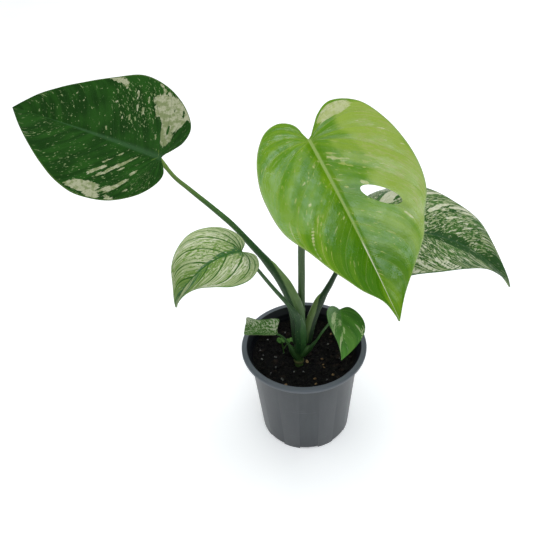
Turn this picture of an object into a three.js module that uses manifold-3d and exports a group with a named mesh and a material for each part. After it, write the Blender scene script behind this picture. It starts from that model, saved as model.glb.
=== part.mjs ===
// Potted mint monstera: a young plant with five heart-shaped leaves and a cut-off one, in a nursery pot.
// Millimetres, +Z up. The origin is on the pot's axis, on the surface that the pot stands on.
// The front of the plant faces -Y.
import * as THREE from "three";
import { mergeVertices } from "three/addons/utils/BufferGeometryUtils.js";
import Module from "manifold-3d";

const wasm = await Module();
wasm.setup();

// Driving dimensions
const gap = 0.3; // clearance between two pieces that touch
const bladeThickness = 0.8;
const creaseHalfWidth = 2; // the two halves of a blade meet in a crease this wide on each side
const weldDistance = 1e-3;

const pot = {
  rimRadius: 54,
  height: 94,
  wall: 1.2,
  bodyTopRadius: 47.4, // outside, just under the rim
  baseRadius: 39.5,
  rimDrop: 3.4,
  rimLipRadius: 49.3, // where the flat of the rim turns down into the pot
  rimRound: 0.9, // the rounded outer edge of the rim
  rimSlack: 0.4, // the inside corners of the rim's moulding
  shoulderHeight: 88.5, // where that slope meets the wall
  footWidth: 2.6,
  floorRise: 2.5,
  padRadius: 9,
  notches: 8,
  notchWidth: 16,
  notchHeight: 2,
  drainHoles: 6,
  drainRadius: 3.5,
  drainCircle: 24,
  segments: 48,
};

const soil = {
  level: 80,
  dish: 1.5, // the edge stands this much above the middle
  bump: 0.9, // height of the small lumps
  ripple: 0.35, // height of the broad waves
  rings: 9,
  segments: 36,
  bits: 40,
  smallestBit: 0.9,
  largestBit: 2.4,
  seed: 7,
};

// A leaf's outline runs from the notch at its stalk to its tip, as [along the midrib, across it].
// left is the side that lies across -, right the side that lies across +. Angles are in degrees.
// curl is the fall of the blade for each square millimetre of w * w, and sweep moves the tip sideways.
const leftLeaf = {
  name: "left_leaf",
  colour: 0x2c5a1c,
  attach: [-105.9, 50, 258.1],
  azimuth: 156,
  rise: 12.5,
  roll: -21,
  length: 138,
  bend: 8.6,
  fold: 12.8,
  curl: 0.001,
  sweep: -1,
  left: [[-3, -4], [-12, -17], [-13, -31], [-2, -46], [20, -59.5], [44, -63], [64, -53.5], [88, -40],
    [116, -22], [131, -7.5]],
  right: [[-4, 3.5], [-11, 14], [-11, 26], [-4, 42], [14, 57], [38, 61.5], [57, 57], [78, 46], [103, 29],
    [121, 15]],
  ribs: 22,
  ribRadius: 1.5,
};
const centreLeaf = {
  name: "centre_leaf",
  colour: 0x8db53c,
  attach: [7.1, -5, 295.9],
  azimuth: -60.5,
  rise: -36.3,
  roll: 1,
  length: 138,
  bend: 8,
  fold: 24,
  curl: 0,
  sweep: 0,
  left: [[-4, -3], [-12, -6], [-16, -20], [-9, -41], [13, -62], [34, -69.5], [58, -67], [75, -52],
    [94, -36.5], [108, -23], [122, -7]],
  right: [[-4, 4], [-14, 13], [-19, 25], [-10, 42], [12, 53.5], [41, 58.5], [64, 55.5], [80, 46], [93, 39],
    [107, 26], [124, 10]],
  ribs: 24,
  ribRadius: 1.7,
  hole: { centre: [55.7, 26], halfLength: 14.8, halfWidth: 4.9, turn: 44.6 },
};
const rightLeaf = {
  name: "right_leaf",
  colour: 0x4d7538,
  attach: [61, 20, 195],
  azimuth: -25.3,
  rise: 24.2,
  roll: 8.7,
  length: 128,
  bend: 88,
  fold: 22.4,
  curl: 0.007,
  sweep: 2,
  left: [[-4, -4], [-15, -14], [-19, -34], [-12, -54], [4, -63], [20, -61], [40, -51], [58, -42], [74, -30],
    [94, -13], [108, -6]],
  right: [[-4, 4], [-16, 14], [-21, 34], [-18, 58], [-6, 70], [12, 67.5], [31, 59], [55, 42.5], [75, 32],
    [91, 18], [107, 8]],
  ribs: 24,
  ribRadius: 1.5,
};
const mintLeaf = {
  name: "mint_leaf",
  colour: 0xa9bd8d,
  attach: [-46.9, -15, 210.7],
  azimuth: 217.7,
  rise: 25.1,
  roll: -10.5,
  length: 74,
  bend: 106,
  fold: 21.6,
  curl: 0.008,
  sweep: -1.3,
  left: [[-3, -1.5], [-9, -8], [-8, -17], [-1, -25.5], [12, -31], [25, -33], [38, -28.5], [49, -20.5],
    [60, -8.5]],
  right: [[-3, 2], [-7.5, 7], [-4, 17], [5, 29], [16, 35], [27, 33], [37, 23], [46, 13], [58, 5]],
  ribs: 18,
  ribRadius: 1,
};
const smallLeaf = {
  name: "small_leaf",
  colour: 0x4f8a2a,
  attach: [27.7, -25, 153],
  azimuth: -85.7,
  rise: -13.2,
  roll: -30,
  length: 40.5,
  bend: 33,
  fold: 15.3,
  curl: -0.005,
  sweep: 0.6,
  left: [[-2, -2.5], [-1.5, -8], [3, -15], [9, -19], [15, -18.5], [21, -13.5], [28, -6.5], [34, -2.8]],
  right: [[-3, 3], [-4, 7.5], [-1, 12], [8, 17.3], [16, 17.7], [24, 14], [33, 7]],
  ribs: 14,
  ribRadius: 0.8,
};
// What is left of a cut-off leaf: its far end is a straight cut.
const cutLeaf = {
  name: "cut_leaf",
  colour: 0x8fae7c,
  attach: [-23.5, -4, 112.8],
  azimuth: 172,
  rise: 9,
  roll: -12,
  length: 27,
  bend: -12,
  fold: 8,
  curl: 0,
  sweep: 0,
  left: [[-1.5, -4], [-3.5, -13], [3, -13.2], [10, -11.4], [18, -9.4], [26.6, -8.4], [26.9, -4]],
  right: [[-0.5, 1.5], [3, 3.4], [10, 5.4], [18, 7], [26.5, 8], [26.9, 4]],
  ribs: 12,
  ribRadius: 0.7,
};

// A stalk's route runs from the stem to its blade. Its sections are
// [share of the length, half width, half thickness]; the wide ones low down are the sheath.
const stalks = [
  {
    leaf: centreLeaf,
    colour: 0x4a7a2c,
    route: [[-2.6, -1.5, 100], [-1.6, 0.6, 124], [-1.1, -0.6, 146], [-0.6, -2, 173], [-0.2, -3, 199],
      [1.5, -4, 228], [3.3, -4.6, 256], [5, -4.8, 281]],
    sections: [[0, 3.4, 3], [0.12, 3, 2.8], [0.5, 2.8, 2.6], [1, 2.1, 2]],
    steps: 18,
    knuckle: 9,
  },
  {
    leaf: leftLeaf,
    colour: 0x2f5a22,
    route: [[-7.4, -6.6, 101], [-9.7, -6.6, 126], [-12.6, -5.4, 145], [-18.1, -2, 164], [-28.3, 5, 181],
      [-39.9, 13, 195.6], [-52.7, 21, 210], [-65.6, 28, 220.4], [-84.9, 38, 235], [-96, 44, 243.5]],
    sections: [[0, 4.6, 3.8], [0.11, 6.6, 3.4], [0.2, 7.4, 3], [0.3, 5.4, 2.8], [0.4, 2.9, 2.5],
      [0.6, 2.3, 2.2], [1, 1.6, 1.5]],
    steps: 24,
    knuckle: 8,
  },
  {
    leaf: rightLeaf,
    colour: 0x35602a,
    route: [[1.6, -6.2, 101], [4.9, -3.6, 119], [8.6, -0.4, 132], [13.7, 3, 142], [19.8, 6, 152],
      [29.1, 10, 169], [42, 15.5, 181], [53.5, 19, 186.5]],
    sections: [[0, 4.2, 3.2], [0.16, 4.6, 2.8], [0.34, 4.2, 2.4], [0.46, 2.6, 2.1], [0.6, 2, 1.9],
      [1, 1.7, 1.6]],
    steps: 20,
    knuckle: 8,
  },
  {
    leaf: mintLeaf,
    colour: 0x2f5f2a,
    route: [[-4.6, -11.6, 95], [-5.2, -13.4, 117], [-8.2, -14.2, 137], [-15.4, -14.4, 153.7],
      [-25.6, -14.4, 173], [-34.8, -14.4, 191], [-41.3, -14.8, 203.6]],
    sections: [[0, 4.2, 2.6], [0.2, 4.8, 2.1], [0.36, 3.6, 1.8], [0.48, 1.7, 1.6], [1, 1.2, 1.2]],
    steps: 20,
    knuckle: 5,
  },
  {
    leaf: smallLeaf,
    colour: 0x3f7030,
    route: [[-2.2, -11.8, 92], [3, -14.2, 101.5], [9.2, -17, 113.4], [14.7, -20, 127.3], [19.4, -22, 137],
      [24, -23.8, 146.5]],
    sections: [[0, 3.4, 2.6], [0.24, 3.4, 2.2], [0.36, 1.8, 1.5], [0.5, 1.2, 1.2], [1, 1, 1]],
    steps: 14,
    knuckle: 3.5,
  },
  {
    leaf: cutLeaf,
    colour: 0x3a6a2c,
    route: [[-5.6, -10.8, 86], [-10.6, -10.8, 93], [-14.9, -9.4, 102], [-18.8, -7, 108.4]],
    sections: [[0, 3, 2.4], [0.3, 3, 2.2], [0.7, 1.7, 1.5], [1, 1.1, 1.1]],
    steps: 10,
    knuckle: 3,
  },
];

const stem = {
  colour: 0x4b6b2d,
  route: [[-5.6, -10.8, 66], [-5.2, -10.2, 80], [-4.9, -9.2, 90], [-3.8, -7.6, 103]],
  sections: [[0, 3.4, 3.4], [0.42, 3.9, 3.8], [0.5, 4.3, 4.2], [0.56, 4, 3.9], [0.85, 5, 4.4],
    [1, 4.4, 3.8]],
  steps: 12,
};

const clover = {
  colour: 0x3f7a2c,
  root: [-17.5, 3, 73],
  crown: [-19.2, 4, 97],
  side: [-11.6, 6, 93],
  fork: [-17.9, 3.4, 85],
  stemRadius: 0.6,
  leaflet: 2.9, // length of one leaflet
  thickness: 0.7,
  crownHeadings: [95, 215, 335],
  sideHeadings: [20, 200],
  droop: 12,
};

const potTaper = (pot.bodyTopRadius - pot.baseRadius) / (pot.height - pot.rimDrop);

// Helpers
const vector = (p) => new THREE.Vector3(...p);
const lerp = THREE.MathUtils.lerp;
const radians = THREE.MathUtils.degToRad;

function seededRandom(seed) {
  let state = seed;
  return () => {
    state = (Math.imul(state, 1664525) + 1013904223) >>> 0;
    return state / 2 ** 32;
  };
}

function toSolid(geometry) {
  const bare = geometry.clone();
  bare.deleteAttribute("normal");
  bare.deleteAttribute("uv");
  const merged = mergeVertices(bare, weldDistance);
  const kept = [];
  const index = merged.index.array;
  for (let i = 0; i < index.length; i += 3) {
    const [a, b, c] = index.slice(i, i + 3);
    if (a !== b && b !== c && c !== a) kept.push(a, b, c);
  }
  return new wasm.Manifold(
    new wasm.Mesh({
      numProp: 3,
      vertProperties: merged.attributes.position.array,
      triVerts: new Uint32Array(kept),
    }),
  );
}

function toMesh(solid, name, colour, roughness) {
  const { vertProperties, triVerts } = solid.getMesh();
  const geometry = new THREE.BufferGeometry();
  geometry.setAttribute("position", new THREE.BufferAttribute(vertProperties, 3));
  geometry.setIndex(new THREE.BufferAttribute(triVerts, 1));
  geometry.computeVertexNormals();
  const material = new THREE.MeshStandardMaterial({ color: colour, roughness, metalness: 0 });
  const mesh = new THREE.Mesh(geometry, material);
  mesh.name = name;
  return mesh;
}

// The largest body of a solid: a cut can leave a loose scrap.
function mainBody(solid) {
  return solid.decompose().reduce((best, body) => (body.volume() > best.volume() ? body : best));
}

function indexedGeometry(points, faces) {
  const geometry = new THREE.BufferGeometry();
  geometry.setAttribute("position", new THREE.Float32BufferAttribute(points.flatMap((p) => p.toArray()), 3));
  geometry.setIndex(faces);
  return geometry;
}

// Half width and half thickness at a share of the length, from a list of sections.
function sectionAt(sections, share) {
  const next = Math.max(1, sections.findIndex(([s]) => s >= share));
  const [s0, w0, t0] = sections[next - 1];
  const [s1, w1, t1] = sections[next];
  const k = THREE.MathUtils.smoothstep(share, s0, s1);
  return [lerp(w0, w1, k), lerp(t0, t1, k)];
}

// A closed tube of elliptical rings along a stretch of a curve. Its width lies across the view from the
// front. A round end closes with a dome, and grow widens the tube.
function loft(curve, { from = 0, to = 1, steps, sides = 8, section, grow = 0, domeEnd = false }) {
  const depth = new THREE.Vector3(0, 1, 0);
  const domeShares = domeEnd ? [0.5, 0.8, 0.96] : [];
  const rings = [];
  for (let i = 0; i <= steps; i++) {
    const share = lerp(from, to, i / steps);
    rings.push({ share, ahead: 0, scale: 1 });
  }
  for (const d of domeShares) rings.push({ share: to, ahead: d, scale: Math.sqrt(1 - d * d) });
  const points = [];
  for (const { share, ahead, scale } of rings) {
    const tangent = curve.getTangentAt(share);
    const across = new THREE.Vector3().crossVectors(tangent, depth).normalize();
    const through = new THREE.Vector3().crossVectors(across, tangent).normalize();
    const [halfWidth, halfThickness] = section(share);
    const centre = curve.getPointAt(share).addScaledVector(tangent, ahead * halfThickness);
    for (let k = 0; k < sides; k++) {
      const turn = (2 * Math.PI * k) / sides;
      points.push(
        centre
          .clone()
          .addScaledVector(across, Math.cos(turn) * (halfWidth + grow) * scale)
          .addScaledVector(through, Math.sin(turn) * (halfThickness + grow) * scale),
      );
    }
  }
  const faces = [];
  for (let i = 0; i < rings.length - 1; i++) {
    for (let k = 0; k < sides; k++) {
      const a = i * sides + k;
      const b = i * sides + ((k + 1) % sides);
      faces.push(a, a + sides, b, b, a + sides, b + sides);
    }
  }
  const last = (rings.length - 1) * sides;
  for (let k = 1; k < sides - 1; k++) faces.push(0, k, k + 1, last, last + k + 1, last + k);
  const solid = toSolid(indexedGeometry(points, faces));
  return solid.volume() < 0 ? toSolid(indexedGeometry(points, faces.reverse())) : solid;
}

// Pot
function potSolid() {
  const p = pot;
  const outside = (z) => p.baseRadius + potTaper * z;
  const floorTop = p.floorRise + p.wall;
  const underRim = p.height - p.wall - p.rimSlack;
  const skirtFoot = p.height - p.rimDrop;
  const skirt = p.rimRadius - p.wall;
  const profile = [
    [0, 0],
    [p.padRadius, 0],
    [p.padRadius + p.floorRise, p.floorRise],
    [p.baseRadius - p.footWidth - 1, p.floorRise],
    [p.baseRadius - p.footWidth, 0],
    [p.baseRadius, 0],
    [outside(p.shoulderHeight), p.shoulderHeight],
    [p.rimLipRadius + p.rimSlack, underRim],
    [skirt - p.rimSlack, underRim],
    [skirt, skirtFoot],
    [p.rimRadius - p.rimSlack, skirtFoot],
    [p.rimRadius, skirtFoot + p.rimSlack],
    [p.rimRadius, p.height - p.rimRound],
    [p.rimRadius - p.rimRound, p.height],
    [p.rimLipRadius + p.rimSlack, p.height],
    [p.rimLipRadius, p.height - p.rimSlack],
    [outside(p.shoulderHeight) - p.wall, p.shoulderHeight],
    [outside(floorTop + 1) - p.wall, floorTop + 1],
    [outside(floorTop) - p.wall - 1, floorTop],
    [p.padRadius + p.floorRise - p.wall / 2, floorTop],
    [p.padRadius - p.wall / 2, p.wall],
    [0, p.wall],
  ];
  const points = profile.map(([r, z]) => new THREE.Vector2(r, z));
  const turned = new THREE.LatheGeometry(points, p.segments).rotateX(Math.PI / 2);
  let body = toSolid(turned);
  const notch = new THREE.BoxGeometry(3 * p.footWidth, p.notchWidth, 2 * p.notchHeight);
  for (let i = 0; i < p.notches; i++) {
    const cutter = notch.clone().translate(p.baseRadius, 0, 0).rotateZ((i / p.notches - 0.25) * 2 * Math.PI);
    body = body.subtract(toSolid(cutter));
  }
  const drain = new THREE.CylinderGeometry(p.drainRadius, p.drainRadius, 4 * p.floorRise, 16);
  drain.rotateX(Math.PI / 2);
  for (let i = 0; i < p.drainHoles; i++) {
    const cutter = drain.clone().translate(p.drainCircle, 0, 0).rotateZ((i / p.drainHoles) * 2 * Math.PI);
    body = body.subtract(toSolid(cutter));
  }
  return body;
}

// Soil: fills the pot, with a lumpy top and crumbs of perlite and bark standing out of it.
function soilSolid() {
  const { level, dish, bump, ripple, rings, segments, bits, smallestBit, largestBit, seed } = soil;
  const random = seededRandom(seed);
  const inside = (z) => pot.baseRadius + potTaper * z - pot.wall - gap;
  const bottom = pot.floorRise + pot.wall + gap;
  const topRadius = inside(level);
  const points = [];
  const faces = [];
  points.push(new THREE.Vector3(0, 0, level));
  for (let i = 1; i <= rings; i++) {
    const r = (topRadius * i) / rings;
    for (let k = 0; k < segments; k++) {
      const turn = (2 * Math.PI * (k + 0.5 * (i % 2))) / segments;
      const lump = i === rings ? 0 : (2 * random() - 1) * bump;
      const wave = Math.sin(r / 2 + 3 * turn) * ripple + lump;
      const z = level + dish * (r / topRadius) ** 2 + wave;
      points.push(new THREE.Vector3(r * Math.cos(turn), r * Math.sin(turn), z));
    }
  }
  const ringStart = (i) => 1 + (i - 1) * segments;
  for (let k = 0; k < segments; k++) faces.push(0, ringStart(1) + k, ringStart(1) + ((k + 1) % segments));
  const join = (inner, outer, lead) => {
    for (let k = 0; k < segments; k++) {
      const a = inner + k;
      const b = inner + ((k + 1) % segments);
      const c = outer + ((k + lead) % segments);
      const d = outer + ((k + 1 + lead) % segments);
      if (lead) faces.push(a, c, b, a, outer + k, c);
      else faces.push(a, c, d, a, d, b);
    }
  };
  for (let i = 1; i < rings; i++) join(ringStart(i), ringStart(i + 1), i % 2);
  const offset = 0.5 * (rings % 2);
  const lower = points.length;
  for (const [r, z] of [[inside(bottom + 1), bottom + 1], [inside(bottom) - 1, bottom]]) {
    for (let k = 0; k < segments; k++) {
      const turn = (2 * Math.PI * (k + offset)) / segments;
      points.push(new THREE.Vector3(r * Math.cos(turn), r * Math.sin(turn), z));
    }
  }
  join(ringStart(rings), lower, 0);
  join(lower, lower + segments, 0);
  points.push(new THREE.Vector3(0, 0, bottom));
  for (let k = 0; k < segments; k++) {
    faces.push(points.length - 1, lower + segments + ((k + 1) % segments), lower + segments + k);
  }
  let body = toSolid(indexedGeometry(points, faces));
  for (let i = 0; i < bits; i++) {
    const size = lerp(smallestBit, largestBit, random() ** 2);
    const r = (topRadius - 1.5 * largestBit) * Math.sqrt(random());
    const turn = 2 * Math.PI * random();
    const crumb = new THREE.IcosahedronGeometry(size, 0).scale(1.2, 0.9, 0.8).rotateZ(6 * random());
    const z = level + dish * (r / topRadius) ** 2 + 0.2 * size;
    body = body.add(toSolid(crumb.translate(r * Math.cos(turn), r * Math.sin(turn), z)));
  }
  return mainBody(body);
}

// The frame of a blade at its stalk: along the midrib, across it, and out of the upper face.
function bladeFrame({ azimuth, rise, roll }) {
  const a = radians(azimuth);
  const e = radians(rise);
  const r = radians(roll);
  const along = new THREE.Vector3(Math.cos(e) * Math.cos(a), Math.cos(e) * Math.sin(a), Math.sin(e));
  const level = new THREE.Vector3(-Math.sin(a), Math.cos(a), 0);
  const up = new THREE.Vector3().crossVectors(along, level);
  const across = level.clone().multiplyScalar(Math.cos(r)).addScaledVector(up, Math.sin(r));
  const out = up.clone().multiplyScalar(Math.cos(r)).addScaledVector(level, -Math.sin(r));
  return { along, across, out };
}

// The blade's middle surface at s along the midrib and w across it. The midrib droops on an arc from the
// stalk on and sweeps a little to one side. The two halves fold up from it, and curl down towards the edge.
// lift moves the point off the surface.
function bladePoint(leaf, s, w, lift = 0) {
  const { along, across, out } = bladeFrame(leaf);
  const radius = leaf.length / radians(leaf.bend);
  const droop = s > 0 ? s / radius : 0;
  const x = s > 0 ? radius * Math.sin(droop) : s;
  const z = s > 0 ? -radius * (1 - Math.cos(droop)) : 0;
  const fold = radians(leaf.fold);
  const slope = Math.atan2(Math.sin(fold) - 2 * leaf.curl * Math.abs(w), Math.cos(fold));
  const lean = THREE.MathUtils.clamp(w / creaseHalfWidth, -1, 1);
  const sweep = s > 0 ? leaf.sweep * (s / leaf.length) ** 2 : 0;
  const side = w * Math.cos(fold) - lean * lift * Math.sin(slope) + sweep;
  const height = Math.abs(w) * Math.sin(fold) - leaf.curl * w * w + lift * Math.cos(slope);
  return vector(leaf.attach)
    .addScaledVector(along, x + height * Math.sin(droop))
    .addScaledVector(across, side)
    .addScaledVector(out, z + height * Math.cos(droop));
}

// The edge of one half of a blade, at even steps from the notch to the tip.
function bladeEdge(leaf, outline) {
  const notchDepth = 1.5;
  const notch = new THREE.Vector3(-notchDepth, 0, 0);
  const tip = new THREE.Vector3(leaf.length, 0, 0);
  const controls = [notch, ...outline.map(([s, w]) => new THREE.Vector3(s, w, 0)), tip];
  const edge = new THREE.CatmullRomCurve3(controls, false, "centripetal").getSpacedPoints(leaf.ribs);
  edge[leaf.ribs].copy(tip);
  return edge;
}

// Where the ribs leave the midrib: raked back from the edge, and all from the stalk in the back lobes.
function ribRoots(leaf, edges) {
  const rake = 0.45;
  let last = 0;
  return edges[0].map((_, i) => {
    const raked = edges.map((edge) => edge[i].x - rake * Math.abs(edge[i].y));
    last = Math.max(last, Math.min(leaf.length, (raked[0] + raked[1]) / 2));
    return last;
  });
}

// A blade as a thin closed shell. Its ribs run from the midrib out to the edge and fan round the stalk in
// the back lobes. Both faces have the same triangles.
function bladeShell(leaf) {
  const columns = [0, 0.3, 0.65, 1];
  const edges = [leaf.left, leaf.right].map((outline) => bladeEdge(leaf, outline));
  const roots = ribRoots(leaf, edges);
  const points = [];
  const faces = [];
  for (const lift of [bladeThickness / 2, -bladeThickness / 2]) {
    for (const edge of edges) {
      edge.forEach(({ x, y }, i) => {
        for (const v of columns) points.push(bladePoint(leaf, lerp(roots[i], x, v), y * v, lift));
      });
    }
  }
  const width = columns.length;
  const patch = (leaf.ribs + 1) * width;
  for (let face = 0; face < 2; face++) {
    for (let side = 0; side < 2; side++) {
      const start = (2 * face + side) * patch;
      const turned = face === side;
      for (let i = 0; i < leaf.ribs; i++) {
        for (let j = 0; j < width - 1; j++) {
          const a = start + i * width + j;
          const b = a + width;
          const quad = [a, b, b + 1, a, b + 1, a + 1];
          faces.push(...(turned ? quad.reverse() : quad));
        }
        const top = side * patch + i * width + width - 1;
        const under = top + 2 * patch;
        const band = [top, top + width, under + width, top, under + width, under];
        if (face === 0) faces.push(...(side === 0 ? band.reverse() : band));
      }
    }
  }
  return toSolid(indexedGeometry(points, faces));
}

// The midrib stands out under the blade and thins towards the tip.
function midribSolid(leaf) {
  const depthShare = 0.8;
  const reach = 0.9;
  const thinnest = 0.35;
  const stations = 8;
  const radiusAt = (share) => lerp(leaf.ribRadius, leaf.ribRadius * thinnest, share);
  const centres = [];
  for (let i = 0; i <= stations; i++) {
    const share = i / stations;
    centres.push(bladePoint(leaf, share * reach * leaf.length, 0, -depthShare * radiusAt(share)));
  }
  const curve = new THREE.CatmullRomCurve3(centres);
  return loft(curve, { steps: 10, sides: 6, section: (share) => [radiusAt(share), radiusAt(share)] });
}

// An oval hole through a blade, its outline given on the blade's surface.
function holeCutter(leaf, { centre, halfLength, halfWidth, turn }) {
  const sides = 20;
  const reach = 4;
  const angle = radians(turn);
  const points = [];
  for (const lift of [-reach, reach]) {
    for (let k = 0; k < sides; k++) {
      const t = (2 * Math.PI * k) / sides;
      const x = halfLength * Math.cos(t);
      const y = halfWidth * Math.sin(t);
      const s = centre[0] + x * Math.cos(angle) - y * Math.sin(angle);
      const w = centre[1] + x * Math.sin(angle) + y * Math.cos(angle);
      points.push(bladePoint(leaf, s, w, lift));
    }
  }
  const faces = [];
  for (let k = 0; k < sides; k++) {
    const next = (k + 1) % sides;
    faces.push(k, next, next + sides, k, next + sides, k + sides);
    if (k > 0 && k < sides - 1) faces.push(0, k + 1, k, sides, sides + k, sides + k + 1);
  }
  return toSolid(indexedGeometry(points, faces));
}

// The curve of a stalk ends just under the blade, where the midrib starts.
function stalkCurve({ leaf, route }) {
  const end = bladePoint(leaf, 0, 0, -leaf.ribRadius);
  return new THREE.CatmullRomCurve3([...route.map(vector), end], false, "centripetal");
}

function stalkSolid(stalk, grow = 0) {
  const curve = stalkCurve(stalk);
  const to = 1 - (stalk.knuckle + gap) / curve.getLength();
  return loft(curve, { to, steps: stalk.steps, section: (share) => sectionAt(stalk.sections, share), grow });
}

// The knuckle is the thicker end of the stalk that carries the blade and is one piece with it.
function knuckleSolid(stalk) {
  const curve = stalkCurve(stalk);
  const swelling = 1.15;
  const from = 1 - stalk.knuckle / curve.getLength();
  const section = (share) => sectionAt(stalk.sections, share).map((half) => half * swelling);
  return loft(curve, { from, steps: 4, section, domeEnd: true });
}

function bladeSolid(stalk) {
  const { leaf } = stalk;
  let body = bladeShell(leaf).add(midribSolid(leaf)).add(knuckleSolid(stalk));
  if (leaf.hole) body = body.subtract(holeCutter(leaf, leaf.hole));
  return mainBody(body);
}

function stemSolid(grow = 0) {
  const curve = new THREE.CatmullRomCurve3(stem.route.map(vector), false, "centripetal");
  const section = (share) => sectionAt(stem.sections, share);
  return loft(curve, { steps: stem.steps, sides: 12, section, grow, domeEnd: true });
}

// A weed seedling: thin stems with small notched leaflets.
function leafletSolid(at, heading) {
  const { leaflet, thickness, droop } = clover;
  const start = -0.2 * leaflet;
  const shoulder = 0.45 * leaflet;
  const notch = 0.85 * leaflet;
  const outline = new THREE.Shape();
  outline.moveTo(start, 0);
  outline.quadraticCurveTo(0.5 * leaflet, -leaflet, leaflet, -shoulder);
  outline.quadraticCurveTo(1.2 * leaflet, -0.1, notch, 0);
  outline.quadraticCurveTo(1.2 * leaflet, 0.1, leaflet, shoulder);
  outline.quadraticCurveTo(0.5 * leaflet, leaflet, start, 0);
  const options = { depth: thickness, bevelEnabled: false, curveSegments: 3 };
  const blade = new THREE.ExtrudeGeometry(outline, options).translate(0, 0, -thickness / 2);
  blade.rotateY(radians(-droop)).rotateZ(radians(heading)).translate(...at);
  return toSolid(blade);
}

function cloverSolid(grow = 0) {
  const { root, crown, side, fork, stemRadius } = clover;
  const round = { steps: 5, sides: 6, grow, section: () => [stemRadius, stemRadius] };
  const main = new THREE.CatmullRomCurve3([root, fork, crown].map(vector));
  const branch = new THREE.CatmullRomCurve3([fork, side].map(vector));
  let body = loft(main, round).add(loft(branch, round));
  if (grow > 0) return body;
  for (const heading of clover.crownHeadings) body = body.add(leafletSolid(crown, heading));
  for (const heading of clover.sideHeadings) body = body.add(leafletSolid(side, heading));
  return mainBody(body);
}

// Assembly: each stalk is cut clear of the stem and of the stalks that are already there.
const plant = new THREE.Group();
plant.name = "potted_mint_monstera";

plant.add(toMesh(potSolid(), "pot", 0x5c6066, 0.55));

const soilBody = soilSolid().subtract(stemSolid(gap)).subtract(cloverSolid(gap));
plant.add(toMesh(mainBody(soilBody), "soil", 0x15120f, 0.95));
plant.add(toMesh(stemSolid(), "stem", stem.colour, 0.45));

let standing = stemSolid(gap);
for (const stalk of stalks) {
  const body = mainBody(stalkSolid(stalk).subtract(standing));
  plant.add(toMesh(body, stalk.leaf.name + "_stalk", stalk.colour, 0.4));
  plant.add(toMesh(bladeSolid(stalk), stalk.leaf.name + "_blade", stalk.leaf.colour, 0.35));
  standing = standing.add(stalkSolid(stalk, gap));
}

plant.add(toMesh(cloverSolid(), "clover_seedling", clover.colour, 0.6));

export default plant;
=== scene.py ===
import math
import random
import bmesh
import bpy
from mathutils import Euler, Matrix, Vector, noise


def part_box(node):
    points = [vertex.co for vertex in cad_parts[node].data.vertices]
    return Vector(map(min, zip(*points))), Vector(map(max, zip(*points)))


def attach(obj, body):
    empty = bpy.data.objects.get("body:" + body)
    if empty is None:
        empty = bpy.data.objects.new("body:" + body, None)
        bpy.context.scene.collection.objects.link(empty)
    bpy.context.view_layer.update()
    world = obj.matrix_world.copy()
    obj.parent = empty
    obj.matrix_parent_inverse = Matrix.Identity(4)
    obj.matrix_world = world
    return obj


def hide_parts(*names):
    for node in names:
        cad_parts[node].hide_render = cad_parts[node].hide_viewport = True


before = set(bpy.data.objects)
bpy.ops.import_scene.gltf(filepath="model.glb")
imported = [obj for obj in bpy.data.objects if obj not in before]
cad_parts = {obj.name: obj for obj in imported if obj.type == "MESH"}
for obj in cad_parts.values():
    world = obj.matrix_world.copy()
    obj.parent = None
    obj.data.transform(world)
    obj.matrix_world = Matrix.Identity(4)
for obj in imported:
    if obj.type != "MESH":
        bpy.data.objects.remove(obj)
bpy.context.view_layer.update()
print("frame loaded")

mm = 0.001  # shapes are worked out in millimetres, in the frame of the solids
scene = bpy.context.scene
potBox = [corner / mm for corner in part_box("pot")]
rimRadius = potBox[1].x
potHeight = potBox[1].z


# Small sums

def lerp(a, b, k):
    return a + (b - a) * k


def smooth(low, high, x):  # 0 below low, 1 above high, an S between them; low may be the larger
    k = min(max((x - low) / (high - low), 0.0), 1.0)
    return k * k * (3 - 2 * k)


def bell(x, width):
    return math.exp(-((x / width) ** 2))


def tint(code):  # the linear colour of a web colour code
    channels = [int(code[i:i + 2], 16) / 255 for i in (0, 2, 4)]
    return tuple(c / 12.92 if c < 0.04045 else ((c + 0.055) / 1.055) ** 2.4 for c in channels) + (1.0,)


def curveThrough(points, steps):  # steps + 1 evenly spaced points on a smooth curve through the points
    known = [Vector(p) for p in points]
    known = [2 * known[0] - known[1], *known, 2 * known[-1] - known[-2]]
    samples = 24
    fine = []
    for p0, p1, p2, p3 in zip(known, known[1:], known[2:], known[3:]):
        t1 = math.sqrt((p1 - p0).length)
        t2 = t1 + math.sqrt((p2 - p1).length)
        t3 = t2 + math.sqrt((p3 - p2).length)
        for k in range(samples):
            t = lerp(t1, t2, k / samples)
            a1 = p0.lerp(p1, t / t1)
            a2 = p1.lerp(p2, (t - t1) / (t2 - t1))
            a3 = p2.lerp(p3, (t - t2) / (t3 - t2))
            b1 = a1.lerp(a2, t / t2)
            b2 = a2.lerp(a3, (t - t1) / (t3 - t1))
            fine.append(b1.lerp(b2, (t - t1) / (t2 - t1)))
    fine.append(known[-2].copy())
    reach = [0.0]
    for a, b in zip(fine, fine[1:]):
        reach.append(reach[-1] + (b - a).length)
    spaced = []
    at = 0
    for k in range(steps + 1):
        goal = reach[-1] * k / steps
        while at < len(fine) - 2 and reach[at + 1] < goal:
            at += 1
        spaced.append(fine[at].lerp(fine[at + 1], (goal - reach[at]) / (reach[at + 1] - reach[at])))
    return spaced


# Pieces

def meshOf(shape, name):
    mesh = bpy.data.meshes.new(name)
    shape.to_mesh(mesh)
    shape.free()
    return mesh


def addObject(name, data):
    added = bpy.data.objects.new(name, data)
    scene.collection.objects.link(added)
    return added


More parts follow.
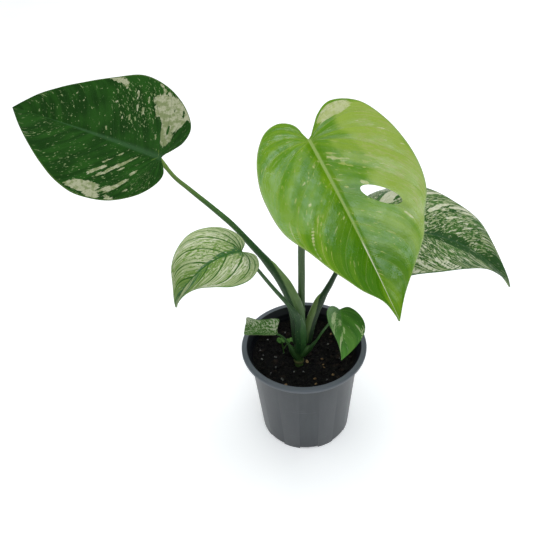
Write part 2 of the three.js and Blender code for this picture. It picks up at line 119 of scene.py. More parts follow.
def finishPiece(shape, name, materials, node=None, sharpAngle=40):
    bmesh.ops.recalc_face_normals(shape, faces=shape.faces)
    bmesh.ops.scale(shape, vec=(mm, mm, mm), verts=shape.verts)
    mesh = meshOf(shape, name)
    for material in materials:
        mesh.materials.append(material)
    mesh.shade_smooth()
    mesh.set_sharp_from_angle(angle=math.radians(sharpAngle))
    piece = addObject(name, mesh)
    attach(piece, "root")
    if node:
        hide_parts(node)


# Nodes of a material

class Signal:  # an output of a node; a sum with it adds the node that works it out
    def __init__(self, node, output=0):
        self.tree, self.socket = node.id_data, node.outputs[output]

    def __add__(self, other):
        return maths("ADD", self, other)

    def __sub__(self, other):
        return maths("SUBTRACT", self, other)

    def __rsub__(self, other):
        return maths("SUBTRACT", other, self)

    def __mul__(self, other):
        return maths("MULTIPLY", self, other)

    def __truediv__(self, other):
        return maths("DIVIDE", self, other)


def fill(node, values):  # links the signals among the values and sets the others
    for name, value in values.items():
        if isinstance(value, Signal):
            node.id_data.links.new(value.socket, node.inputs[name])
        else:
            node.inputs[name].default_value = value


def addNode(kind, values, tree=None, **settings):
    tree = tree or next(value.tree for value in values.values() if isinstance(value, Signal))
    new = tree.nodes.new(kind)
    for name, setting in settings.items():
        setattr(new, name, setting)
    fill(new, values)
    return new


def attribute(tree, name, output="Fac"):
    new = addNode("ShaderNodeAttribute", {}, tree, attribute_type="GEOMETRY", attribute_name=name)
    return Signal(new, output)


def objectPlace(tree):
    return Signal(addNode("ShaderNodeTexCoord", {}, tree), "Object")


def maths(operation, *terms):
    return Signal(addNode("ShaderNodeMath", dict(enumerate(terms)), operation=operation))


def fade(value, low, high):  # 0 at low, 1 at high, smooth between
    values = {"Value": value, "From Min": low, "From Max": high}
    return Signal(addNode("ShaderNodeMapRange", values, interpolation_type="SMOOTHSTEP"))


def mixed(share, a, b, blend="MIX"):
    return Signal(addNode("ShaderNodeMix", {0: share, 6: a, 7: b}, data_type="RGBA", blend_type=blend), 2)


def toned(colour, tone):  # a colour times a tone
    return mixed(1.0, colour, Signal(addNode("ShaderNodeCombineXYZ", {0: tone, 1: tone, 2: tone})),
                 "MULTIPLY")


def split(place):
    new = addNode("ShaderNodeSeparateXYZ", {0: place})
    return [Signal(new, axis) for axis in range(3)]


def stretched(place, scale):
    return Signal(addNode("ShaderNodeVectorMath", {0: place, 1: scale}, operation="MULTIPLY"))


def grain(place, scale, detail=2.0, roughness=0.5, distortion=0.0):
    return Signal(addNode("ShaderNodeTexNoise", {"Vector": place, "Scale": scale, "Detail": detail,
                                                 "Roughness": roughness, "Distortion": distortion}))


def cells(place, scale):
    return Signal(addNode("ShaderNodeTexVoronoi", {"Vector": place, "Scale": scale}), "Distance")


def bumped(height, distance, strength=1.0):
    return Signal(addNode("ShaderNodeBump", {"Height": height, "Distance": distance, "Strength": strength}))


def newMaterial(name):
    material = bpy.data.materials.new(name)
    material.use_nodes = True
    return material, material.node_tree, material.node_tree.nodes["Principled BSDF"]


# Blades. An outline runs from the notch at the stalk to the tip, as [along the midrib, across it].
# left lies across -, right across +. Angles are in degrees. The marks on a blade are patches of
# (along, across, half length along the veins, half width across them, strength), and each follows
# the veins where it lies. cream and fleck are pale marks, green keeps the pale ones out, shade turns
# the ground to the colour shade and dark to the colour dark.

bladeBuild = {
    "thickness": 0.7,
    "edgeThickness": 0.4,
    "creaseHalfWidth": 2.0,
    "notchDepth": 1.5,
    "rake": 0.45,
    "columnCrowding": 1.5,  # the columns stand closer near the midrib
    "taper": 0.65,  # of the ribs and veins towards the tip
    "waveLength": 19, "puckerLength": 4,
    "leastPitch": 4,  # between two ribs for a whole blade of them, where a mark is measured
    "streakStretch": 1.45, "sideOffset": 60,  # of the pattern: along the midrib, and between the two sides
    "weld": 0.002,
    "lowerColour": "a9bd86", "lowerVein": "b9c98e",
    "upperRelief": 0.12, "lowerRelief": 0.18,
    "markLevel": 0.45, "paleLevel": 1.05, "fleckShare": 1.5, "densityShare": 0.6,
    "fleckSoft": 0.06,
}

leftLeaf = {
    "name": "left_leaf", "slot": "left_leaf_green",
    "attach": (-105.9, 50, 258.1), "azimuth": 156, "rise": 12.5, "roll": -21,
    "length": 138, "bend": 8.6, "fold": 12.8, "curl": 0.001, "sweep": -1,
    "left": [(-3, -4), (-12, -17), (-13, -31), (-2, -46), (20, -59.5), (44, -63), (64, -53.5), (88, -40),
        (116, -22), (131, -7.5)],
    "right": [(-4, 3.5), (-11, 14), (-11, 26), (-4, 42), (14, 57), (38, 61.5), (57, 57), (78, 46),
        (103, 29), (121, 15)],
    "ribs": 140, "columns": 38, "ribRadius": 1.5,
    "veins": 11, "veinOffset": 0.03, "arch": 0.02, "quilt": 0.25, "wave": 0.5,
    "cream": [(7, -37, 16, 11.5, 1.5), (16, -44, 8, 7, 1.2), (-5, -37, 8, 6, 1.2), (3, -17, 8, 5, 0.9),
        (37, 51, 6, 10, 1.3), (27, 57, 3, 7, 1.2), (14, 54.5, 2, 7, 1), (14, 42, 11, 1.7, 1.1),
        (21, 49, 6, 1.6, 1), (37, 34, 8, 1.6, 1.1), (24, 24, 16, 1.7, 1), (30, 34, 6, 1.6, 0.9),
        (34, 23, 3, 1.4, 1), (27, 10, 3, 0.9, 0.9), (20, 26, 3, 1.2, 0.9), (9.5, 25, 4, 1.3, 1),
        (6, 43, 2, 1.2, 0.9), (62, -52, 2.6, 7, 1.4), (55, -50, 6, 1.4, 1.3), (25, -58, 1.4, 2, 1.1),
        (15.4, -54, 1.6, 2, 1), (20.7, -56, 3, 1.3, 1), (40, -44, 4, 0.9, 1), (53, -33, 1.2, 0.9, 1),
        (37, -22, 3.4, 0.7, 1), (28.7, -41.7, 3, 0.9, 1), (42, -20, 2, 0.6, 0.9), (35, -33, 3.4, 0.9, 1),
        (30, -31, 4, 1, 1), (89, -28.6, 1.4, 0.8, 0.9), (80, -24, 1.4, 0.8, 0.9), (51, -8.5, 2, 0.6, 0.9)],
    "fleck": [(38, -34, 24, 20, 0.16), (20, -52, 8, 18, 0.16), (105, 14, 12, 26, 0.09),
        (105, -14, 12, 26, 0.09), (70, 40, 16, 22, 0.1), (0, 30, 12, 9, 0.14), (24, 40, 22, 14, 0.1)],
    "green": [(11.5, -26, 6, 2.2, 2), (3, -24, 4, 1, 1.6), (6, -41, 2, 0.9, 1.4), (-2, -41, 3, 1.1, 1.4),
        (-8, -28, 8, 3, 2), (12.5, 49.5, 3, 2.4, 1.2), (7, -15, 5, 1.2, 1.3)],
    "shade": [(2, 2.5, 4, 0.5, 0.9), (2, -2.5, 3, 0.4, 0.8)],
    "colours": {"dark": "184208", "deep": "194a05", "light": "2a6412", "shade": "6c8f35", "fleck": "a3b97c",
        "cream": "a4b27a", "white": "f4f4d0", "speckle": "90a268", "vein": "3a6b30", "midrib": "4a7848",
        "margin": "5d8036"},
    "whiteShare": 0.6, "fleckSize": (0.65, 1.7), "fleckFill": 0.07, "creamSize": (1.0, 3.4), "creamFill": 0,
    "creamSoft": 0.08, "speckle": 0.5, "veinStrength": 0.25, "veinWidth": 0.45, "midribWidth": 4.5,
    "midribStrength": 0.6, "midribTip": 95, "midribCore": 0.1, "tone": 0.5, "roughness": 0.4, "gloss": 0.2,
}
centreLeaf = {
    "name": "centre_leaf", "slot": "centre_leaf_lime",
    "attach": (7.1, -5, 295.9), "azimuth": -60.5, "rise": -36.3, "roll": 1,
    "length": 138, "bend": 8, "fold": 24, "curl": 0, "sweep": 0,
    "left": [(-4, -3), (-12, -6), (-16, -20), (-9, -41), (13, -62), (34, -69.5), (58, -67), (75, -52),
        (94, -36.5), (108, -23), (122, -7)],
    "right": [(-4, 4), (-14, 13), (-19, 25), (-10, 42), (12, 53.5), (41, 58.5), (64, 55.5), (80, 46),
        (93, 39), (107, 26), (124, 10)],
    "ribs": 150, "columns": 42, "ribRadius": 1.7,
    "hole": {"centre": (55.7, 26), "halfLength": 14.8, "halfWidth": 4.9, "turn": 44.6},
    "veins": 10, "veinOffset": 0.09, "arch": 0.05, "quilt": 0.42, "wave": 0.7,
    "cream": [(-12.8, 22, 12, 7.5, 1.3), (30, -28, 3, 0.8, 1.1), (45, -32.5, 2.6, 0.8, 0.9),
        (60, -6.4, 4.5, 0.55, 1.2), (64, -42.4, 3, 1, 0.8), (20, -11, 1, 0.8, 0.9), (16.4, -3, 1, 0.6, 0.9),
        (3, 36, 2, 0.8, 0.7), (15.7, 47.6, 3, 1, 0.9), (24.5, 45, 1.6, 0.8, 0.9), (31.7, 54, 1, 0.8, 0.9),
        (40, 39, 6, 0.8, 0.9), (43.6, 20.7, 2.4, 1.3, 1.3), (76, 37, 2.2, 0.7, 1), (21, 11.6, 7, 1.3, 0.8),
        (23, 17, 3, 1, 0.8)],
    "fleck": [(8, 46, 12, 22, 0.32), (36, 44, 22, 22, 0.3), (72, -38, 12, 12, 0.2), (20, 10, 6, 5, 0.3)],
    "shade": [(6, 42, 22, 24, 1), (28, 44, 22, 20, 0.95), (-6, -25, 16, 9, 0.35), (64, 42, 22, 16, 0.8),
        (84, 28, 16, 10, 0.5), (20, 26, 16, 12, 0.6)],
    "dark": [(16, -10, 16, 14, 0.55), (70, -18, 40, 16, 0.75), (100, -10, 20, 22, 0.9),
        (104, 12, 22, 16, 0.7), (52, 20, 26, 5, 0.55), (80, 20, 20, 6, 0.35)],
    "colours": {"dark": "458204", "deep": "649d08", "light": "84b21a", "shade": "a8c748", "fleck": "b4c860",
        "cream": "c8d585", "white": "e9ecba", "speckle": "b9cc72", "vein": "b2cc6c", "midrib": "a6c368",
        "margin": "9dbc5c"},
    "whiteShare": 0.6, "fleckSize": (1.0, 3.2), "fleckFill": 0.12, "creamSize": (1.8, 7.0), "creamFill": 0,
    "creamSoft": 0.24, "speckle": 0.25, "veinStrength": 0.3, "veinWidth": 0.5, "midribWidth": 1.7,
    "midribStrength": 1.0, "midribTip": 121, "roughness": 0.22, "gloss": 0.3, "tone": 0.66,
    "midribEnd": {"colour": "eef2cd", "from": 76, "to": 84},
}
rightLeaf = {
    "name": "right_leaf", "slot": "right_leaf_speckle",
    "attach": (61, 20, 195), "azimuth": -25.3, "rise": 24.2, "roll": 8.7,
    "length": 128, "bend": 88, "fold": 22.4, "curl": 0.007, "sweep": 2,
    "left": [(-4, -4), (-15, -14), (-19, -34), (-12, -54), (4, -63), (20, -61), (40, -51), (58, -42),
        (74, -30), (94, -13), (108, -6)],
    "right": [(-4, 4), (-16, 14), (-21, 34), (-18, 58), (-6, 70), (12, 67.5), (31, 59), (55, 42.5),
        (75, 32), (91, 18), (107, 8)],
    "ribs": 140, "columns": 40, "ribRadius": 1.5,
    "veins": 12, "veinOffset": 0.04, "arch": 0.035, "quilt": 0.35, "wave": 0.4,
    "cream": [(34, 47, 6, 2, 1.1), (42, 26, 5, 1.6, 1), (47, 31, 5, 1.5, 1), (60, 34, 4, 1.6, 1),
        (70, 32, 3, 1.3, 1), (57, 20, 3, 1.2, 0.9), (5, 40, 11, 9, 1.6), (44, -40, 5, 1.5, 0.9),
        (42, -47, 4, 1.6, 1), (58, -34, 4, 1.2, 0.9), (70, -31, 3, 1.2, 0.9), (24, -52, 6, 4, 0.8),
        (-6, -30, 9, 5, 0.9)],
    "fleck": [(50, 35, 30, 26, 0.03), (45, -45, 12, 30, 0.06)],
    "green": [(14, 42, 9, 2.6, 1.6), (-4, 44, 10, 2.4, 1.2)],
    "dark": [(66, -4.5, 5, 22, 1), (60, 2, 4, 16, 0.8), (51, 32, 3, 1.6, 0.9), (56, 29, 3, 1.5, 0.9),
        (104, 4, 9, 14, 0.8), (104, -4, 9, 14, 0.8), (14, 3, 6, 10, 0.5), (14, -3, 6, 10, 0.5)],
    "colours": {"dark": "28541f", "deep": "315f20", "light": "4a7830", "shade": "4d7a3d", "fleck": "a3b47f",
        "cream": "d9dfb8", "white": "f4f4de", "speckle": "a9b98c", "vein": "33602f", "midrib": "2f5a33",
        "margin": "3d6c2c"},
    "whiteShare": 0.5, "fleckSize": (0.62, 1.5), "fleckFill": 0.4, "creamSize": (0.7, 1.9),
    "creamFill": 0.3, "creamSoft": 0.08, "speckle": 0.4, "veinStrength": 0.3, "veinWidth": 0.4,
    "midribWidth": 2.2, "midribStrength": 0.8, "midribTip": 110, "roughness": 0.42, "gloss": 0.22,
    "tone": 0.66,
}
mintLeaf = {
    "name": "mint_leaf", "slot": "mint_leaf_cream",
    "attach": (-46.9, -15, 210.7), "azimuth": 217.7, "rise": 25.1, "roll": -10.5,
    "length": 74, "bend": 106, "fold": 21.6, "curl": 0.008, "sweep": -1.3,
    "left": [(-3, -1.5), (-9, -8), (-8, -17), (-1, -25.5), (12, -31), (25, -33), (38, -28.5), (49, -20.5),
        (60, -8.5)],
    "right": [(-3, 2), (-7.5, 7), (-4, 17), (5, 29), (16, 35), (27, 33), (37, 23), (46, 13), (58, 5)],
    "ribs": 130, "columns": 36, "ribRadius": 1.0,
    "veins": 8, "veinOffset": 0.385, "arch": 0.1, "quilt": 0.35, "wave": 0.25,
    "cream": [(10, 18, 9, 14, 0.35), (14, -20, 9, 12, 0.3)],
    "fleck": [(20, 12, 20, 30, 0.1), (20, -16, 16, 20, 0.15), (64, 4, 9, 9, 0.4), (64, -4, 9, 9, 0.4),
        (50, 20, 12, 3, 0.2), (52, -20, 12, 3, 0.2)],
    "shade": [(3, 4, 5, 0.9, 1), (3, -3, 5, 0.9, 1), (10, 1.2, 2.6, 14, 0.95), (10, -1.2, 2.4, 14, 0.95),
        (26, 0.8, 1.4, 14, 0.8), (26, -0.8, 1.4, 14, 0.8), (70, 1.5, 7, 10, 0.9), (70, -1.5, 7, 10, 0.9)],
    "colours": {"dark": "3c6c2a", "deep": "b2c489", "light": "d3dcae", "shade": "4a7a4a", "fleck": "7fa24d",
        "cream": "e3e8c4", "white": "f0f2da", "speckle": "86a656", "vein": "376b18", "midrib": "3b6f2c",
        "margin": "4f8530"},
    "whiteShare": 0.4, "fleckSize": (0.85, 1.1), "fleckFill": 0.33, "creamSize": (1.0, 1.5),
    "creamFill": 0.16, "creamSoft": 0.12, "speckle": 0.0, "veinStrength": 1.0, "veinWidth": 1.15,
    "midribWidth": 1.1, "midribStrength": 0.95, "midribTip": 80, "roughness": 0.45, "gloss": 0.25,
    "tone": 0.72,
}
smallLeaf = {
    "name": "small_leaf", "slot": "small_leaf_green",
    "attach": (27.7, -25, 153), "azimuth": -85.7, "rise": -13.2, "roll": -30,
    "length": 40.5, "bend": 33, "fold": 15.3, "curl": -0.005, "sweep": 0.6,
    "left": [(-2, -2.5), (-1.5, -8), (3, -15), (9, -19), (15, -18.5), (21, -13.5), (28, -6.5), (34, -2.8)],
    "right": [(-3, 3), (-4, 7.5), (-1, 12), (8, 17.3), (16, 17.7), (24, 14), (33, 7)],
    "ribs": 96, "columns": 30, "ribRadius": 0.8,
    "veins": 8, "veinOffset": 0.05, "arch": 0.07, "quilt": 0.14, "wave": 0.15,
    "cream": [(9, -10.5, 4, 3.4, 0.75), (11.5, -3, 3, 2.6, 0.6), (16, -11, 3, 2, 0.6), (17, 1, 1, 2.6, 1.1),
        (22, -1, 1.2, 3.2, 1.1), (26.5, -3, 1.4, 2.4, 1), (14, 12.3, 2.8, 0.8, 1), (15.5, 16.4, 0.9, 1, 1),
        (19.5, 16, 0.9, 1.2, 1)],
    "fleck": [(12, -8, 8, 8, 0.25)],
    "shade": [(22, 5, 10, 7, 0.6), (10, 8, 7, 6, 0.3)],
    "colours": {"dark": "2f5f1c", "deep": "3c721f", "light": "4f8a2b", "shade": "5f9133", "fleck": "7fa15c",
        "cream": "a3be7e", "white": "d5dfae", "speckle": "8fae66", "vein": "5c8f3a", "midrib": "5f9140",
        "margin": "3e7222"},
    "whiteShare": 0.4, "fleckSize": (0.7, 1.6), "fleckFill": 0.1, "creamSize": (0.9, 2.6), "creamFill": 0,
    "creamSoft": 0.22, "speckle": 0.3, "veinStrength": 0.35, "veinWidth": 0.22, "midribWidth": 0.8,
    "midribStrength": 0.6, "midribTip": 40, "roughness": 0.38, "gloss": 0.3, "tone": 0.9,
}
cutLeaf = {
    "name": "cut_leaf", "slot": "cut_leaf_mottle",
    "attach": (-23.5, -4, 112.8), "azimuth": 172, "rise": 9, "roll": -12,
    "length": 27, "bend": -12, "fold": 8, "curl": 0, "sweep": 0,
    "left": [(-0.4, -4), (-1, -12.9), (4, -12.9), (10, -11), (18, -9), (27, -8.6), (26.7, -4)],
    "right": [(0.2, 2.2), (3, 3), (10, 4.6), (18, 6.4), (26.6, 8.6), (26.9, 4)],
    "ribs": 84, "columns": 20, "ribRadius": 0.7,
    "veins": 6, "veinOffset": 0.1, "arch": 0.05, "quilt": 0.12, "wave": 0.2,
    "cream": [(24, -6, 5, 6, 0.25), (2, -8, 6, 5, 0.25)],
    "fleck": [(12, 0, 8, 10, 0.05)],
    "green": [(14, 5, 3, 3, 0.5), (10, -11, 3, 3, 0.3)],
    "colours": {"dark": "3f6f2a", "deep": "4a7d2f", "light": "659648", "shade": "7fa45a", "fleck": "a9c78a",
        "cream": "d8e6bc", "white": "f0f6dc", "speckle": "8fae6c", "vein": "5c8a3e", "midrib": "54823a",
        "margin": "6c9550"},
    "whiteShare": 0.4, "fleckSize": (0.7, 0.9), "fleckFill": 0.4, "creamSize": (0.7, 0.9), "creamFill": 0.3,
    "creamSoft": 0.06, "speckle": 0.3, "veinStrength": 0.3, "veinWidth": 0.2, "midribWidth": 0.7,
    "midribStrength": 0.5, "midribTip": 27, "roughness": 0.45, "gloss": 0.2, "tone": 0.5,
}
leaves = (leftLeaf, centreLeaf, rightLeaf, mintLeaf, smallLeaf, cutLeaf)


def bladeFrame(leaf):
    a, e, r = (math.radians(leaf[key]) for key in ("azimuth", "rise", "roll"))
    along = Vector((math.cos(e) * math.cos(a), math.cos(e) * math.sin(a), math.sin(e)))
    level = Vector((-math.sin(a), math.cos(a), 0))
    up = along.cross(level)
    across = level * math.cos(r) + up * math.sin(r)
    out = up * math.cos(r) - level * math.sin(r)
    return along, across, out


def bladePoint(leaf, s, w, lift=0.0):  # s along the midrib, w across it, lift off the surface
    along, across, out = leaf["frame"]
    radius = leaf["length"] / math.radians(leaf["bend"])
    ahead = max(s, 0.0)
    droop = ahead / radius
    x = radius * math.sin(droop) if s > 0 else s
    z = -radius * (1 - math.cos(droop))
    fold = math.radians(leaf["fold"])
    slope = math.atan2(math.sin(fold) - 2 * leaf["curl"] * abs(w), math.cos(fold))
    lean = min(max(w / bladeBuild["creaseHalfWidth"], -1), 1)
    sweep = leaf["sweep"] * (ahead / leaf["length"]) ** 2
    side = w * math.cos(fold) - lean * lift * math.sin(slope) + sweep
    height = abs(w) * math.sin(fold) - leaf["curl"] * w * w + lift * math.cos(slope)
    place = along * (x + height * math.sin(droop)) + across * side + out * (z + height * math.cos(droop))
    return Vector(leaf["attach"]) + place


def holeReach(hole, s, w):  # under 1 inside the hole
    turn = math.radians(hole["turn"])
    x, y = s - hole["centre"][0], w - hole["centre"][1]
    along = (x * math.cos(turn) + y * math.sin(turn)) / hole["halfLength"]
    across = (y * math.cos(turn) - x * math.sin(turn)) / hole["halfWidth"]
    return math.hypot(along, across)


def bladeLift(leaf, point, upper):  # relief of one face: midrib, veins, quilting between them, waves
    s, w, share = point["s"], point["w"], point["share"]
    taper = 1 - bladeBuild["taper"] * min(max(s / leaf["length"], 0), 1)
    offVein = abs(((point["vein"] - leaf["veinOffset"]) * leaf["veins"] + 0.5) % 1 - 0.5)
    fading = smooth(0.03, 0.3, share) * smooth(1, 0.75, share) * smooth(1.02, 0.85, point["vein"])
    quilt = leaf["quilt"] * ((2 * offVein) ** 0.7 - 0.6) * fading
    place = Vector((s, w, 7 * len(leaf["name"])))  # so that each blade waves its own way
    wave = leaf["wave"] * noise.noise(place / bladeBuild["waveLength"]) * smooth(0.1, 0.8, share)
    pucker = 0.3 * leaf["quilt"] * noise.noise(place / bladeBuild["puckerLength"]) * smooth(0, 0.3, share)
    half = lerp(bladeBuild["thickness"], bladeBuild["edgeThickness"], smooth(0.8, 1, share)) / 2
    rib = leaf["ribRadius"] * taper
    base = quilt + wave + pucker * smooth(1, 0.9, share)
    if upper:
        return base + half + 0.3 * rib * (bell(w, 0.45 * rib + 0.2) - 1.3 * bell(w, 1.7 * rib + 0.4))
    ridge = 0.3 * taper * (1 - 2 * offVein) ** 8 * fading
    keel = 1.9 * rib * math.sqrt(max(0, 1 - (w / (1.15 * rib)) ** 2)) * smooth(-1, 2, s)
    return base - half - ridge - keel


def markStrength(point, marks):  # the strongest of the marks at a point
    most = 0.0
    for mark in marks:
        if mark["side"] != point["side"]:
            continue
        along = (point["run"] - mark["run"]) / mark["halfLength"]
        across = (point["vein"] - mark["vein"]) * mark["pitch"] / mark["halfWidth"]
        if abs(along) < 1.3 and abs(across) < 1.3:
            most = max(most, mark["strength"] * smooth(1.3, 0.7, math.hypot(along, across)))
    return most


def makeBlade(leaf):
    leaf["frame"] = bladeFrame(leaf)
    ribs, columns = leaf["ribs"], leaf["columns"]
    start, tip = (-bladeBuild["notchDepth"], 0, 0), (leaf["length"], 0, 0)
    edges = {}
    for side in ("left", "right"):
        edges[side] = curveThrough([start, *((s, w, 0) for s, w in leaf[side]), tip], ribs)
    roots = [start[0]]
    for a, b in zip(edges["left"][1:], edges["right"][1:]):
        raked = (a.x + b.x - bladeBuild["rake"] * (abs(a.y) + abs(b.y))) / 2
        roots.append(min(max(raked, roots[-1], 0), leaf["length"]))

    def ribPoint(i, side, share):
        edge = edges[side][min(max(i, 0), ribs)]
        return Vector((lerp(roots[min(max(i, 0), ribs)], edge.x, share), edge.y * share))

    # A flat sheet of ribs from the midrib to the edge; what each point is to the veins is kept by its index
    shape = bmesh.new()
    bmesh.ops.create_grid(shape, x_segments=ribs, y_segments=2 * columns, size=1)
    sheet = {}
    for point in shape.verts:
        i = round((point.co.x + 1) / 2 * ribs)
        side = "right" if point.co.y > 0 else "left"
        share = abs(point.co.y) ** bladeBuild["columnCrowding"]
        place = ribPoint(i, side, share)
        ribWay = edges[side][i].xy - Vector((roots[i], 0))
        step = ribPoint(i + 1, side, share) - ribPoint(i - 1, side, share)
        pitch = abs(ribWay.normalized().cross(step)) * ribs / (1 if i in (0, ribs) else 2)
        vein = i / ribs + leaf["arch"] * math.log(1 - share / 1.05)
        point.co = (*place, 0)
        sheet[point.index] = {"s": place.x, "w": place.y, "side": side, "share": share, "vein": vein,
                              "run": share * ribWay.length, "pitch": max(pitch, bladeBuild["leastPitch"])}
    marks = {}
    for kind in ("cream", "fleck", "green", "shade", "dark"):
        marks[kind] = []
        for s, w, halfLength, halfWidth, strength in leaf.get(kind, ()):
            side = "right" if w > 0 else "left"
            own = [p for p in sheet.values() if p["side"] == side]
            near = min(own, key=lambda p: (p["s"] - s) ** 2 + (p["w"] - w) ** 2)
            marks[kind].append({**near, "halfLength": halfLength, "halfWidth": halfWidth,
                                "strength": strength})

    flatLayer = shape.verts.layers.float_vector.new("flat")
    streakLayer = shape.verts.layers.float_vector.new("streak")
    plainLayers = {}
    for name in ("vein", "share", "pitch", "cream", "fleck", "shade", "dark"):
        plainLayers[name] = shape.verts.layers.float.new(name)
    keep = shape.verts.layers.int.new("keep")
    for point in shape.verts:
        known = sheet[point.index]
        kept = 1 - min(markStrength(known, marks["green"]), 1)
        for kind in ("cream", "fleck"):
            known[kind] = (markStrength(known, marks[kind]) + leaf[kind + "Fill"]) * kept
        for kind in ("shade", "dark"):
            known[kind] = markStrength(known, marks[kind])
        for name, layer in plainLayers.items():
            point[layer] = known[name]
        point[flatLayer] = (known["s"], known["w"], 0)
        sideways = bladeBuild["sideOffset"] if known["side"] == "right" else 0
        along = known["vein"] * bladeBuild["streakStretch"] * leaf["length"]
        point[streakLayer] = (along, known["run"], sideways)
        point[keep] = point.index
    bmesh.ops.remove_doubles(shape, verts=shape.verts, dist=bladeBuild["weld"])

    hole = leaf.get("hole")
    if hole:
        inside = [f for f in shape.faces if holeReach(hole, *f.calc_center_median().xy) < 1]
        bmesh.ops.delete(shape, geom=inside, context="FACES")
        for point in shape.verts:
            reach = holeReach(hole, *point.co.xy)
            if point.is_boundary and reach < 1.6:
                middle = Vector((*hole["centre"], 0))
                point.co = middle + (point.co - middle) / reach
                sheet[point[keep]].update(s=point.co.x, w=point.co.y)
    rim = [e for e in shape.edges if e.is_boundary]
    holeRim = [e for e in rim if hole and holeReach(hole, *e.verts[0].co.xy) < 1.2]

    # The same sheet again for the lower face, each lifted its own way and closed along the edges
    copied = bmesh.ops.duplicate(shape, geom=shape.verts[:] + shape.edges[:] + shape.faces[:])
    lower = {item for item in copied["geom"] if isinstance(item, bmesh.types.BMVert)}
    for face in (item for item in copied["geom"] if isinstance(item, bmesh.types.BMFace)):
        face.material_index = 1
    for point in shape.verts:
        known = sheet[point[keep]]
        point.co = bladePoint(leaf, known["s"], known["w"], bladeLift(leaf, known, point not in lower))
    for loop in ([e for e in rim if e not in holeRim], holeRim):
        if loop:
            bmesh.ops.bridge_loops(shape, edges=loop + [copied["edge_map"][e] for e in loop])
    shape.verts.layers.int.remove(keep)
    finishes = [bladeMaterial(leaf, "Upper"), bladeMaterial(leaf, "Lower")]
    name = leaf["name"].replace("_leaf", "LeafBlade")
    finishPiece(shape, name, finishes, leaf["name"] + "_blade", 60)


def bladeMaterial(leaf, face):
    material, tree, surface = newMaterial(leaf["name"] + face)
    tints = {name: tint(code) for name, code in leaf["colours"].items()}
    flat, streak = (attribute(tree, name, "Vector") for name in ("flat", "streak"))
    vein, share, pitch = (attribute(tree, name) for name in ("vein", "share", "pitch"))

    # Ground colour: broad bands along the veins, blotches, and the marks that shift it
    bands = grain(stretched(streak, (1 / 7, 1 / 45, 1)), 1, 2, 0.5)
    blotches = grain(flat, 1 / 22, 2, 0.5)
    blend = fade(bands * 0.6 + blotches * 0.4, 0.4, 0.62)
    colour = mixed(blend, tints["deep"], tints["light"])
    ragged = grain(stretched(streak, (1 / 2.5, 1 / 9, 1)), 1, 3, 0.6)
    shade = markMask(tree, "shade", ragged, 0.35)
    colour = mixed(shade, colour, tints["shade"])
    dark = markMask(tree, "dark", ragged, 0.5)
    colour = mixed(dark, colour, tints["dark"])
    spare = 1.0 - dark * 0.85

    # Veins in the distance of each point from the nearest one, in millimetres
    cycles = (vein - leaf["veinOffset"]) * float(leaf["veins"])
    spacing = pitch / float(leaf["veins"])
    offVein = maths("PINGPONG", cycles, 0.5) * spacing
    offFine = maths("PINGPONG", cycles * 4.0, 0.5) * (spacing / 4.0)
    width = leaf["veinWidth"]
    veinLine = fade(offVein, width, width * 0.35)
    fineLine = fade(offFine, width * 0.7, width * 0.2) * 0.35
    lines = maths("MAXIMUM", veinLine, fineLine) * fade(share, 1.0, 0.9)
    lines = lines * (fade(ragged, 0.3, 0.5) * 0.6 + 0.4)

    # Pale marks, in two sizes of fleck drawn out along the veins
    fleckMask = paleMask(tree, leaf, "fleck", spare, bladeBuild["fleckSoft"], 2.5, 0.6, 0.4)
    colour = mixed(fleckMask, colour, tints["fleck"])
    creamMask = paleMask(tree, leaf, "cream", spare, leaf["creamSoft"], 4, 0.62, 0.5)
    whiter = fade(grain(flat, 1 / 4.5, 3, 0.6) + share * 0.16, 0.52, 0.68) * leaf["whiteShare"]
    cream = mixed(whiter, tints["cream"], tints["white"])
    speckles = fade(grain(flat, 1 / 1.3, 2, 0.6), 0.52, 0.66) * leaf["speckle"]
    cream = mixed(speckles, cream, tints["speckle"])
    colour = mixed(creamMask, colour, cream)

    colour = mixed(lines * leaf["veinStrength"], colour, tints["vein"])
    along, across = split(flat)[:2]
    ribWidth = fade(along, leaf["midribTip"] * 1.2, 0) * leaf["midribWidth"] + 0.12
    midrib = fade(maths("ABSOLUTE", across) / ribWidth, 1.0, leaf.get("midribCore", 0.45))
    ribColour = tints["midrib"]
    if "midribEnd" in leaf:
        end = leaf["midribEnd"]
        ribColour = mixed(fade(along, end["from"], end["to"]), ribColour, tint(end["colour"]))
    colour = mixed(midrib * leaf["midribStrength"], colour, ribColour)
    colour = mixed(fade(share, 0.975, 0.995), colour, tints["margin"])
    tone = grain(flat, 1 / 0.9, 3, 0.6)
    colour = toned(colour, (tone * 0.3 + 0.85) * leaf["tone"])

    cellular = cells(flat, 1.1)
    relief = cellular * 0.35 + ragged * 0.5
    if face == "Upper":
        relief = relief - lines * 0.9
        gleam = fade(grain(flat, 1 / 14, 3, 0.6), 0.35, 0.65)
        rough = gleam * 0.14 + (leaf["roughness"] - 0.07)
        values = {"Specular IOR Level": leaf["gloss"], "Coat Weight": 0.06, "Coat Roughness": 0.3}
        depth = bladeBuild["upperRelief"] * mm
    else:  # the lower face is paler, duller and netted with raised veins
        colour = mixed(0.45, colour, tint(bladeBuild["lowerColour"]))
        colour = mixed(lines * 0.5, colour, tint(bladeBuild["lowerVein"]))
        relief = relief + lines * 1.2
        rough = cellular * 0.15 + 0.55
        values = {"Specular IOR Level": 0.25}
        depth = bladeBuild["lowerRelief"] * mm
    values.update({"Base Color": colour, "Roughness": rough, "Normal": bumped(relief, depth, 0.7)})
    fill(surface, values)
    return material


def markMask(tree, name, ragged, soft):  # a mark on the ground colour, with a ragged edge
    level = attribute(tree, name) + ragged * 0.5
    return fade(level, bladeBuild["markLevel"], bladeBuild["markLevel"] + 2 * soft)


